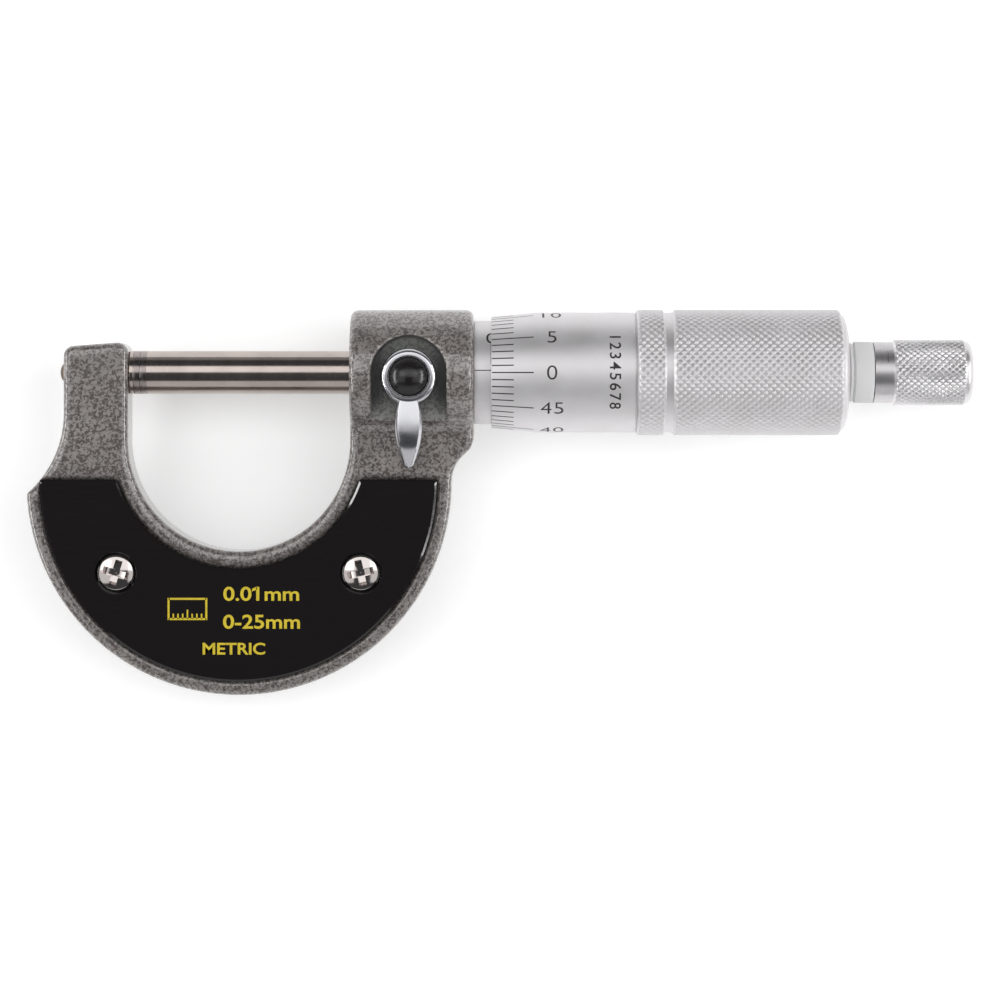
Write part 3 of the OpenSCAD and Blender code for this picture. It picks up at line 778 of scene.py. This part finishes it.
def satin_chrome(name, gloss_at):
    """Chrome plated over a fine vapour blast: a soft silver-white that spreads highlights wide.
    The blast's grain is about 0.02 mm and is drawn as 0.08 mm so that it shows."""
    material, tree, shader, place = new_material(name, Metallic=1.0)
    grain = add(tree, "TexNoise", {"Vector": place, "Scale": 12000, "Detail": 2})
    cloud = add(tree, "TexNoise", {"Vector": place, "Scale": 160, "Detail": 3})
    tint = between(tree, cloud, 0.35, 0.7, linear("#dddbdc"), linear("#e6e4e6"))
    gloss = add(tree, "MapRange", (cloud, 0.35, 0.7, gloss_at * 0.94, gloss_at * 1.08))
    bump = add(tree, "Bump", {"Height": grain, "Strength": 0.2, "Distance": 0.00001})
    feed(shader, {"Base Color": tint, "Roughness": gloss, "Normal": bump})
    return material


def line_tree():
    """Rules a row of lines in a plane, every so many of them long, and rolls the plane round a
    cylinder or a cone, so that Y runs round the axis from the top line."""
    tree, given = new_tree(
        "ruled_lines", Count="Int", Every="Int", First="Vector", Stride="Vector", Short="Vector",
        Long="Vector", Radius="Float", Slope="Float", Roll_Radius="Float",
    )
    row = add(tree, "MeshLine", {
        "Count": given["Count"], "Start Location": given["First"], "Offset": given["Stride"],
    })
    number = add(tree, "InputIndex")
    rest = add(tree, "Math", (number, given["Every"]), operation="MODULO")
    is_long = add(tree, "Math", (rest, 0.5), operation="LESS_THAN")
    # a Mix node's vectors are its fourth and fifth sockets
    size = add(tree, "Mix", {0: is_long, 4: given["Short"], 5: given["Long"]}, data_type="VECTOR")
    block = add(tree, "MeshCube", {
        "Size": (1, 1, 1), "Vertices X": 2, "Vertices Y": 9, "Vertices Z": 2,
    })
    cornered = add(tree, "Transform", {"Geometry": block, "Translation": (0.5, 0.5, 0)})
    lines = add(tree, "InstanceOnPoints", {
        "Points": row, "Instance": cornered, "Scale": size.outputs[1],
    })
    real = add(tree, "RealizeInstances", (lines,))
    apart = add(tree, "SeparateXYZ", (add(tree, "InputPosition"),)).outputs
    angle = add(tree, "Math", (apart["Y"], given["Roll Radius"]), operation="DIVIDE")
    start = add(tree, "SeparateXYZ", (given["First"],)).outputs["X"]
    run = add(tree, "Math", (apart["X"], start), operation="SUBTRACT")
    rise = add(tree, "Math", (run, given["Slope"], given["Radius"]), operation="MULTIPLY_ADD")
    radius = add(tree, "Math", (rise, apart["Z"]))
    sine = add(tree, "Math", (angle,), operation="SINE")
    cosine = add(tree, "Math", (angle,), operation="COSINE")
    across = add(tree, "Math", (radius, sine), operation="MULTIPLY")
    up = add(tree, "Math", (radius, cosine), operation="MULTIPLY")
    spot = add(tree, "CombineXYZ", (apart["X"], across, up))
    bent = add(tree, "SetPosition", {"Geometry": real, "Position": spot})
    return ended(tree, given, bent)


def rolled(mesh, radius, x, arc_y):
    """Flat letters laid on a cylinder, with their middle at x and arc_y round from the top."""
    bm = bmesh.new()
    bm.from_mesh(mesh)
    low = min(v.co.y for v in bm.verts)
    high = max(v.co.y for v in bm.verts)
    for k in range(1, int((high - low) / 0.25) + 1):
        everything = bm.verts[:] + bm.edges[:] + bm.faces[:]
        bmesh.ops.bisect_plane(
            bm, geom=everything, plane_co=(0, low + 0.25 * k, 0), plane_no=(0, 1, 0)
        )
    for v in bm.verts:
        angle = (v.co.y + arc_y) / radius
        reach = radius + LINE_T / 2 + v.co.z
        v.co = (v.co.x + x, reach * math.sin(angle), reach * math.cos(angle))
    return saved("rolled", bm)


chrome = satin_chrome("satin_chrome_plating", 0.53)
black_fill = ink("black_engraving_fill", "#2b2627", 0.55)
lines = line_tree()
empty = bpy.data.meshes.new("empty")
tube = turned("sleeve", soften([
    (sleeve_low.x, SLEEVE_BORE), (sleeve_low.x, SLEEVE_R), (sleeve_high.x, SLEEVE_R),
    (sleeve_high.x, SLEEVE_BORE),
], 0.12, 3, closed=True), 192, ring=True)
spanner_hole = upright(
    turned("hole", [(-9, 0), (-9, 0.75), (-5, 0.75), (-5, 0)], 32), (sleeve_low.x + ZERO_X) / 2, 0
)
tube = combined("DIFFERENCE", tube, spanner_hole)
piece("sleeve_tube", tube, chrome, "sleeve", "satin_chrome", "sleeve")
shared = {"Radius": SLEEVE_R, "Slope": 0.0, "Roll Radius": SLEEVE_R, "Finish": black_fill,
          "Stride": (1.0, 0.0, 0.0)}
above = grown(empty.copy(), lines, shared | {
    "Count": 26, "Every": 5, "First": (ZERO_X - DATUM_W / 2, 1.2, 0.0),
    "Short": (DATUM_W, 2.0, LINE_T), "Long": (DATUM_W, 3.3, LINE_T),
})
below = grown(empty.copy(), lines, shared | {
    "Count": 25, "Every": 1, "First": (ZERO_X + 0.5 - DATUM_W / 2, -2.6, 0.0),
    "Long": (DATUM_W, 2.0, LINE_T),
})
datum = grown(empty.copy(), lines, shared | {
    "Count": 1, "Every": 1, "First": (sleeve_low.x + 0.1, 0.25, 0.0),
    "Long": (sleeve_high.x - sleeve_low.x - 0.6, DATUM_W, LINE_T),
})
numerals = [
    rolled(lettering(str(n), 2.1, -0.01, 1.05, 1.2), SLEEVE_R, ZERO_X + n, 5.6)
    for n in range(0, 26, 5)
]
piece("sleeve_scale", joined("scale", [above, below, datum] + numerals), black_fill, "sleeve",
      "satin_chrome")

# -------- spindle
# The moving jaw: a hardened shaft, ground and polished, that runs in the boss. Its middle is
# screwed to half a millimetre's pitch and its far end tapers to seat the thimble. Its face is
# carbide, like the anvil's.
spindle_end = corners("spindle")[1].x
tip_low, tip_high = corners("spindle_tip")
THREAD_X = 45.0
THREAD_R = 3.6
SCREW_PITCH = 0.5
thread = []
for k in range(int((spindle_end - 9 - THREAD_X) / SCREW_PITCH)):
    x = THREAD_X + 0.4 + k * SCREW_PITCH
    thread += [(x, THREAD_R - 0.28), (x + SCREW_PITCH / 2, THREAD_R)]
taper = [
    (spindle_end - 7.6, THREAD_R - 0.6), (spindle_end - 5, THREAD_R - 0.6),
    (spindle_end - 5, THREAD_R - 0.1), (spindle_end, THREAD_R - 0.72), (spindle_end, 1.5),
    (spindle_end - 8, 1.5), (spindle_end - 8, 0),
]
shaft = turned("spindle", [
    (tip_high.x, 0), (tip_high.x, JAW_R), (THREAD_X, JAW_R),
] + thread + taper)
piece("spindle_shaft", shaft, steel, "spindle", "ground_steel", "spindle")
spindle_tip = turned("spindle_tip", soften(
    [(tip_low.x, 0), (tip_low.x, JAW_R), (tip_high.x, JAW_R), (tip_high.x, 0)], 0.08, 3
))
piece("spindle_carbide", spindle_tip, carbide, "spindle", "carbide", "spindle_tip")

# -------- thimble
# A satin-chromed steel drum: a graduated bevel of fifty divisions, a plain skirt, two rolled
# bands of diamond knurling, and a coned end clamped on the spindle's taper.
EDGE_R_T = 8.3
SKIRT_R = 9.0
KNURL_R = thimble_high.z
BEVEL_X = ZERO_X + 6.9
BAND_X = BEVEL_X + 14.6
GROOVE_X = BAND_X + 4.4
GRIP_X = GROOVE_X + 1.2
CONE_X = GRIP_X + 24.7
CONE_END = thimble_high.x - 0.55
THIMBLE_BORE = 7.84
KNURL_DEEP = 0.2
KNURL_ROWS = 56
KNURL_PITCH = 1.2
CELL = 6


def knurl_tree():
    """Presses diamonds into a turned skin between two places on its axis, down to a root."""
    tree, given = new_tree(
        "diamond_knurl", Start="Float", End="Float", Pitch="Float", Rows="Int",
        Root_Radius="Float", Depth="Float",
    )
    apart = add(tree, "SeparateXYZ", (add(tree, "InputPosition"),)).outputs
    flat = add(tree, "CombineXYZ", {"Y": apart["Y"], "Z": apart["Z"]})
    radius = add(tree, "VectorMath", (flat,), operation="LENGTH").outputs["Value"]
    angle = add(tree, "Math", (apart["Y"], apart["Z"]), operation="ARCTAN2")
    turn = add(tree, "Math", (angle, math.tau), operation="DIVIDE")
    row = add(tree, "Math", (turn, given["Rows"]), operation="MULTIPLY")
    run = add(tree, "Math", (apart["X"], given["Start"]), operation="SUBTRACT")
    column = add(tree, "Math", (run, given["Pitch"]), operation="DIVIDE")
    offs = []
    for value in (row, column):
        near = add(tree, "Math", (value,), operation="ROUND")
        off = add(tree, "Math", (value, near), operation="SUBTRACT")
        offs.append(add(tree, "Math", (off,), operation="ABSOLUTE"))
    both = add(tree, "Math", offs)
    fold = add(tree, "Math", (both, -2.0, 1.0), operation="MULTIPLY_ADD")
    flank = add(tree, "Math", (fold,), operation="ABSOLUTE")
    height = add(tree, "Math", (flank, 1.35), operation="MULTIPLY")
    crest = add(tree, "Math", (height, 1.0), operation="MINIMUM")
    root = given["Root Radius"]
    reach = add(tree, "Math", (crest, given["Depth"], root), operation="MULTIPLY_ADD")
    wanted = add(tree, "Math", (reach, radius), operation="MINIMUM")
    scale = add(tree, "Math", (wanted, radius), operation="DIVIDE")
    shrunk = add(tree, "VectorMath", {0: flat, "Scale": scale}, operation="SCALE")
    along = add(tree, "CombineXYZ", {"X": apart["X"]})
    moved = add(tree, "VectorMath", (shrunk, along))
    after = add(tree, "Math", (apart["X"], given["Start"]), operation="GREATER_THAN")
    before = add(tree, "Math", (apart["X"], given["End"]), operation="LESS_THAN")
    outside = add(tree, "Math", (radius, root), operation="GREATER_THAN")
    within = add(tree, "Math", (after, before), operation="MULTIPLY")
    chosen = add(tree, "Math", (within, outside), operation="MULTIPLY")
    pressed = add(tree, "SetPosition", {
        "Geometry": given["Geometry"], "Selection": chosen, "Position": moved,
    })
    return ended(tree, given, pressed)


def band(start, end, radius, chamfer, pitch):
    """A band's skin for knurling, with rings close enough to carry its diamonds."""
    count = round((end - start - 2 * chamfer) / pitch * CELL)
    return [
        (start + chamfer + (end - start - 2 * chamfer) * i / count, radius)
        for i in range(count + 1)
    ]


outer = soften([
    (ZERO_X, THIMBLE_BORE + 0.1), (ZERO_X, EDGE_R_T), (BEVEL_X, SKIRT_R), (BAND_X - 0.25, SKIRT_R),
], 0.08, 3)
outer += [
    (BAND_X - 0.12, SKIRT_R), (BAND_X - 0.08, SKIRT_R - 0.25), (BAND_X + 0.1, SKIRT_R - 0.25),
    (BAND_X + 0.14, SKIRT_R + 0.05), (BAND_X + 0.4, KNURL_R - 0.05),
]
outer += band(BAND_X + 0.25, GROOVE_X, KNURL_R, 0.3, KNURL_PITCH)
outer += [(GROOVE_X - 0.05, SKIRT_R + 0.05), (GROOVE_X + 0.05, SKIRT_R - 0.02),
          (GRIP_X - 0.05, SKIRT_R - 0.02), (GRIP_X + 0.05, SKIRT_R + 0.05)]
outer += band(GRIP_X, CONE_X + 0.3, KNURL_R, 0.3, KNURL_PITCH)
outer += [(CONE_X + 0.25, KNURL_R - 0.2), (CONE_X + 0.55, KNURL_R - 0.75)]
tail_r = 4.64
cone_start = CONE_X + 0.55
cone = [(cone_start + (CONE_END - cone_start) * math.sin(a),
         tail_r + (KNURL_R - 0.75 - tail_r) * math.cos(a))
        for a in (math.radians(15 * k) for k in range(1, 7))]
outer += cone + [
    (CONE_END, 3.05), (thimble_high.x - 5.9, 3.66), (thimble_high.x - 5.9, THIMBLE_BORE),
    (ZERO_X + 0.1, THIMBLE_BORE),
]
drum = turned("thimble", outer, KNURL_ROWS * CELL, ring=True)
knurl = knurl_tree()
pressing = {"Pitch": KNURL_PITCH, "Rows": KNURL_ROWS, "Root Radius": KNURL_R - KNURL_DEEP,
            "Depth": KNURL_DEEP, "Finish": chrome}
drum = grown(drum, knurl, pressing | {"Start": BAND_X + 0.45, "End": GROOVE_X - 0.25})
drum = grown(drum, knurl, pressing | {"Start": GRIP_X + 0.25, "End": CONE_X + 0.05})
piece("thimble_drum", drum, chrome, "spindle", "satin_chrome", "thimble")
slope = (SKIRT_R - EDGE_R_T) / (BEVEL_X - ZERO_X)
divisions = grown(empty.copy(), lines, {
    "Count": 50, "Every": 5, "First": (ZERO_X + 0.08, -0.085, 0.0),
    "Stride": (0.0, math.tau * EDGE_R_T / 50, 0.0), "Short": (3.25, 0.17, LINE_T),
    "Long": (6.2, 0.17, LINE_T), "Radius": EDGE_R_T + slope * 0.08, "Slope": slope,
    "Roll Radius": EDGE_R_T, "Finish": black_fill,
})
figures = [
    rolled(lettering(str(n), 2.25, -0.022, 1.06, 1.16), SKIRT_R, 61.5, math.tau * SKIRT_R * n / 50)
    for n in range(0, 50, 5)
]
serial = lettering("12345678", 1.72, 0.02, 1.25, 1.05)
serial.transform(Matrix.Rotation(-math.pi / 2, 4, "Z"))
figures.append(rolled(serial, SKIRT_R, 70.85, 0.0))
piece("thimble_scale", joined("divisions", [divisions] + figures), black_fill, "spindle",
      "satin_chrome")

# -------- ratchet stop
# The stem screws into the spindle and carries a ring of face teeth; the cap turns on it and
# slips past a set load, driven through a toothed ring and a spring inside. The rings are
# polished, the cap is knurled, and a slotted screw in the end holds it together.
stem_low, stem_high = corners("ratchet_stem")
cap_low, cap_high = corners("ratchet_cap")
end_screw_x = corners("ratchet_screw")[0].x
RING_R = 4.57
NECK_R = 4.4
STEM_R = 1.5
RING_X = thimble_high.x + 0.4
TEETH_X = RING_X + 2.8
COLLAR_END = cap_low.x + 2.93
CAP_R = cap_high.z
CAP_BORE_R = 4.0
CAP_ROWS = 34
CAP_PITCH = 1.05
CHAMBER_END = 117.3
SCREW_SEAT = 120.78
polished = machined("fine_polished_steel", "#d2cfd1", 0.34, spacing=0.1, depth=0.2)
stem = turned("stem", [
    (stem_low.x, 0), (stem_low.x, STEM_R), (CONE_END, STEM_R),
] + soften([
    (CONE_END, STEM_R), (CONE_END, 3.9), (CONE_END + 0.2, 3.9), (CONE_END + 0.25, NECK_R),
    (CONE_END + 0.6, NECK_R), (CONE_END + 0.65, 4.15), (RING_X, 4.15), (RING_X, RING_R),
    (TEETH_X, RING_R), (TEETH_X, STEM_R),
], 0.1, 3)[1:] + [(stem_high.x, STEM_R), (stem_high.x, 0)])
# 24 radial notches in the ring's face, which the sprung ring's teeth drop into
notch = stacked("notch", [
    [(TEETH_X + 0.02, -half, z), (TEETH_X - 0.5, -half / 2, z), (TEETH_X + 0.02, half, z)]
    for half, z in ((0.27, 2.2), (0.31, 4.0))
])
notches = grown(notch, copies, {
    "Count": 24, "Turn": (math.tau / 24, 0.0, 0.0), "Finish": polished,
})
stem = combined("DIFFERENCE", stem, notches)
piece("ratchet_ring", stem, polished, "spindle", "turned_steel", "ratchet_stem")
collar = soften([
    (cap_low.x, CAP_BORE_R), (cap_low.x, RING_R), (COLLAR_END - 0.3, RING_R),
], 0.12, 3)[1:]
grip = band(COLLAR_END, cap_high.x - 1.0, CAP_R, 0.25, CAP_PITCH)
end = [
    (cap_high.x - 1.15 + 1.15 * math.sin(a), CAP_R - 0.2 - 1.2 * (1 - math.cos(a)))
    for a in (math.radians(15 * k) for k in range(7))
]
cap_chrome = satin_chrome("satin_chrome_on_the_cap", 0.4)
collar += [(COLLAR_END - 0.1, RING_R), (COLLAR_END + 0.1, CAP_R - 0.25)]
cap = turned("cap", collar + grip + end + [
    (cap_high.x, 2.5), (cap_high.x - 0.1, 2.4), (SCREW_SEAT, 2.4), (SCREW_SEAT, 1.53),
    (CHAMBER_END, 1.53), (CHAMBER_END, CAP_BORE_R), (cap_low.x, CAP_BORE_R),
], CAP_ROWS * CELL, ring=True)
cap = grown(cap, knurl, {
    "Start": COLLAR_END + 0.2, "End": cap_high.x - 1.2, "Pitch": CAP_PITCH, "Rows": CAP_ROWS,
    "Root Radius": CAP_R - 0.2, "Depth": 0.2, "Finish": cap_chrome,
})
cap.materials.append(polished)
smooth_part = [int(face.center.x < COLLAR_END) for face in cap.polygons]
cap.polygons.foreach_set("material_index", smooth_part)
piece("ratchet_grip", cap, cap_chrome, "ratchet", "satin_chrome", "ratchet_cap")
HEAD_X = end_screw_x + 4
head = soften([
    (HEAD_X, 0.8), (HEAD_X, 2.2), (HEAD_X + 0.9, 2.2), (HEAD_X + 1.4, 1.7), (HEAD_X + 1.5, 0),
], 0.12, 3)
end_screw = turned("end_screw", [(end_screw_x, 0), (end_screw_x, 0.8)] + head, 96)
slot = stacked("slot", [
    [(x, y, z) for y, z in oblong(0, 0, 6, 0.5)] for x in (HEAD_X + 0.8, HEAD_X + 3)
])
end_screw = combined("DIFFERENCE", end_screw, slot)
piece("ratchet_end_screw", end_screw, polished, "spindle", "turned_steel", "ratchet_screw")
spring_wire = machined("drawn_spring_wire", "#a6a29e", 0.3, spacing=0.4)
refinish(spring_wire, "ratchet_pawl", "ratchet_spring")

# -------- spindle lock
# A chromed zinc lever: a rounded ring with an arched, bevelled tail. A short screw with a black
# domed head clamps it, and a brass pad under the screw presses on the spindle.
lever_low, lever_high = corners("lock_lever")
RING_OUT = 4.2
RECESS_R = 3.02
SHAFT_R = 2.47
RING_TOP = lever_high.z
RING_FOOT = lever_low.z
TAIL_END = lever_low.y - LOCK_Y
TAIL_BELLY = -6.7
TAIL_W = 4.2
TAIL_FOOT = 7.1
TAIL_CREST = 9.5
CREST_Y = -8.4
bright = plated("bright_chrome_plating", "#c9c9cd", 0.19)
CREST_R = 3.45
ring_profile = [
    (RING_FOOT, SHAFT_R), (RING_FOOT, RING_OUT - 0.15), (RING_FOOT + 0.15, RING_OUT),
    (RING_TOP - 1.15, RING_OUT),
] + [
    (RING_TOP - 1.0 + 1.0 * math.sin(a), CREST_R + (RING_OUT - CREST_R) * math.cos(a))
    for a in (math.radians(10 * k) for k in range(1, 10))
] + [(RING_TOP, RECESS_R + 0.12), (RING_TOP - 0.1, RECESS_R), (RING_TOP - 1, RECESS_R),
     (RING_TOP - 1, SHAFT_R)]
lever_ring = upright(turned("lever_ring", ring_profile, 128, ring=True), LOCK_X, LOCK_Y)


def tail_half(y):
    """Half the tail's width at a distance below the lock's axis: a shallow arc to a round tip."""
    side_r = 15.7
    tip_r = 0.9
    wide = TAIL_W / 2 - side_r + math.sqrt(side_r**2 - (y - TAIL_BELLY) ** 2)
    rest = y - TAIL_END
    if rest < tip_r:
        wide = min(wide, math.sqrt(max(tip_r**2 - (tip_r - rest) ** 2, 0.0004)))
    return wide


def tail_top(y):
    """The tail's arched top: nearly level to its crest, then ever steeper to the tip."""
    if y > CREST_Y:
        return TAIL_CREST - 0.013 * (y - CREST_Y) ** 2
    past = CREST_Y - y
    steep = max(past - 2.4, 0)
    return TAIL_CREST - 0.09 * min(past, 2.4) ** 2 - (0.45 + 0.06 * steep) * steep


sections = []
for k in range(31):
    y = -CREST_R + (TAIL_END + CREST_R + 0.02) * math.sin(math.radians(3 * k))
    half, crest = tail_half(y), tail_top(y)
    bevel = min(0.5, half * 0.5)
    drop = min(bevel * 1.4, (crest - TAIL_FOOT) * 0.45)
    right = [
        (half, TAIL_FOOT), (half, crest - drop - 0.05), (half - bevel * 0.25, crest - drop * 0.6),
        (half - bevel, crest - 0.03), (half - bevel * 1.35, crest), (half * 0.3, crest + 0.02),
    ]
    section = right + [(-x, z) for x, z in reversed(right)]
    sections.append([(LOCK_X + x, LOCK_Y + y, z) for x, z in section])
tail = stacked("lever_tail", sections)
lever = combined("UNION", lever_ring, tail)
piece("lever", lever, bright, "lock", "bright_chrome", "lock_lever")
button_black = black_gloss("black_nickel_button", 0.22)
BUTTON_R = lock_high.x - LOCK_X
BUTTON_FOOT = RING_TOP - 1
BUTTON_TOP = lock_high.z
RIM_H = 0.7
dome_h = BUTTON_TOP - BUTTON_FOOT - RIM_H
dome_r = (BUTTON_R**2 + dome_h**2) / (2 * dome_h)
cover = arc(BUTTON_TOP - dome_r, 0, dome_r, math.degrees(math.asin(BUTTON_R / dome_r)), 0, 16)
button = upright(turned("button", [
    (lock_low.z, 0), (lock_low.z, 2.3), (lock_low.z + 0.17, SHAFT_R),
    (BUTTON_FOOT, SHAFT_R), (BUTTON_FOOT, BUTTON_R),
] + soften([(BUTTON_FOOT, BUTTON_R)] + cover[:2], 0.25, 4)[1:] + cover[2:], 128), LOCK_X, LOCK_Y)
piece("lock_button", button, button_black, "lock", "black_button", "lock_screw")
brass = machined("turned_free_cutting_brass", "#b8934e", 0.25, along="Z")
refinish(brass, "lock_pad")

# -------- studio
# A white floor under long softboxes: a key overhead and a lower fill and rim draw the bands
# along the turned pieces, and two at the ends light the satin, the knurls and the screws.
FLOOR_Z = cad_box[0].z


def white_paper():
    """Matt white paper, with a barely seen mottle."""
    material, tree, shader, place = new_material(
        "white_background_paper", Roughness=0.9, Emission_Color=linear("#ffffff"),
        Emission_Strength=0.42,
    )
    mottle = add(tree, "TexNoise", {"Vector": place, "Scale": 6})
    tint = between(tree, mottle, 0, 1, linear("#ebebeb"), linear("#f1f1f1"))
    feed(shader, {"Base Color": tint})
    return material


floor_mesh = bpy.data.meshes.new("floor")
FLOOR_W = 5.0
edge = [(x, y, FLOOR_Z) for x, y in oblong(0, 0, FLOOR_W, FLOOR_W)]
floor_mesh.from_pydata(edge, [], [(0, 1, 2, 3)])
floor_mesh.materials.append(white_paper())
shown("floor", floor_mesh)


def softbox(name, around, tilt, distance, width, depth, power):
    """An area light over the tool, tilted from overhead towards +Y, then turned round +Z."""
    data = bpy.data.lights.new(name, "AREA")
    data.shape = "RECTANGLE"
    data.size = width
    data.size_y = depth
    data.energy = power
    lamp = shown(name, data)
    middle = Matrix.Translation((0.05, -0.01, 0))
    turn = Matrix.Rotation(math.radians(around), 4, "Z")
    lean = Matrix.Rotation(math.radians(-tilt), 4, "X")
    lamp.matrix_world = middle @ turn @ lean @ Matrix.Translation((0, 0, distance))


softbox("key", 0, 18, 1.0, 1.8, 0.573, 4.4)
softbox("fill", 180, 66, 1.0, 1.8, 0.728, 2.8)
softbox("rim", 0, 80, 1.1, 1.8, 0.35, 0.5)
softbox("left", 90, 35, 1.0, 0.9, 0.6, 1.35)
softbox("right", -90, 35, 1.0, 0.9, 0.6, 1.35)
# two narrow strips, low at the ends, that draw the bright lines along rounded edges
softbox("left_strip", 90, 70, 1.0, 0.9, 0.1, 4.0)
softbox("right_strip", -90, 65, 1.0, 0.9, 0.1, 4.0)

world = bpy.data.worlds.new("studio")
bpy.context.scene.world = world
world.use_nodes = True
world.node_tree.nodes["Background"].inputs["Color"].default_value = linear("#bdbfc3")
world.node_tree.nodes["Background"].inputs["Strength"].default_value = 0.12
bpy.context.scene.view_settings.view_transform = "Standard"

# The camera looks straight down on the tool, its lens shifted so that the spindle's axis lies
# above the middle of the view.
camera = bpy.data.cameras.new("camera")
camera.lens = 132
camera.sensor_width = 36
camera.shift_y = -0.1275
camera.clip_start = 0.01
eye = shown("camera", camera)
eye.location = (0.0538, 0, 0.55)
bpy.context.scene.camera = eye
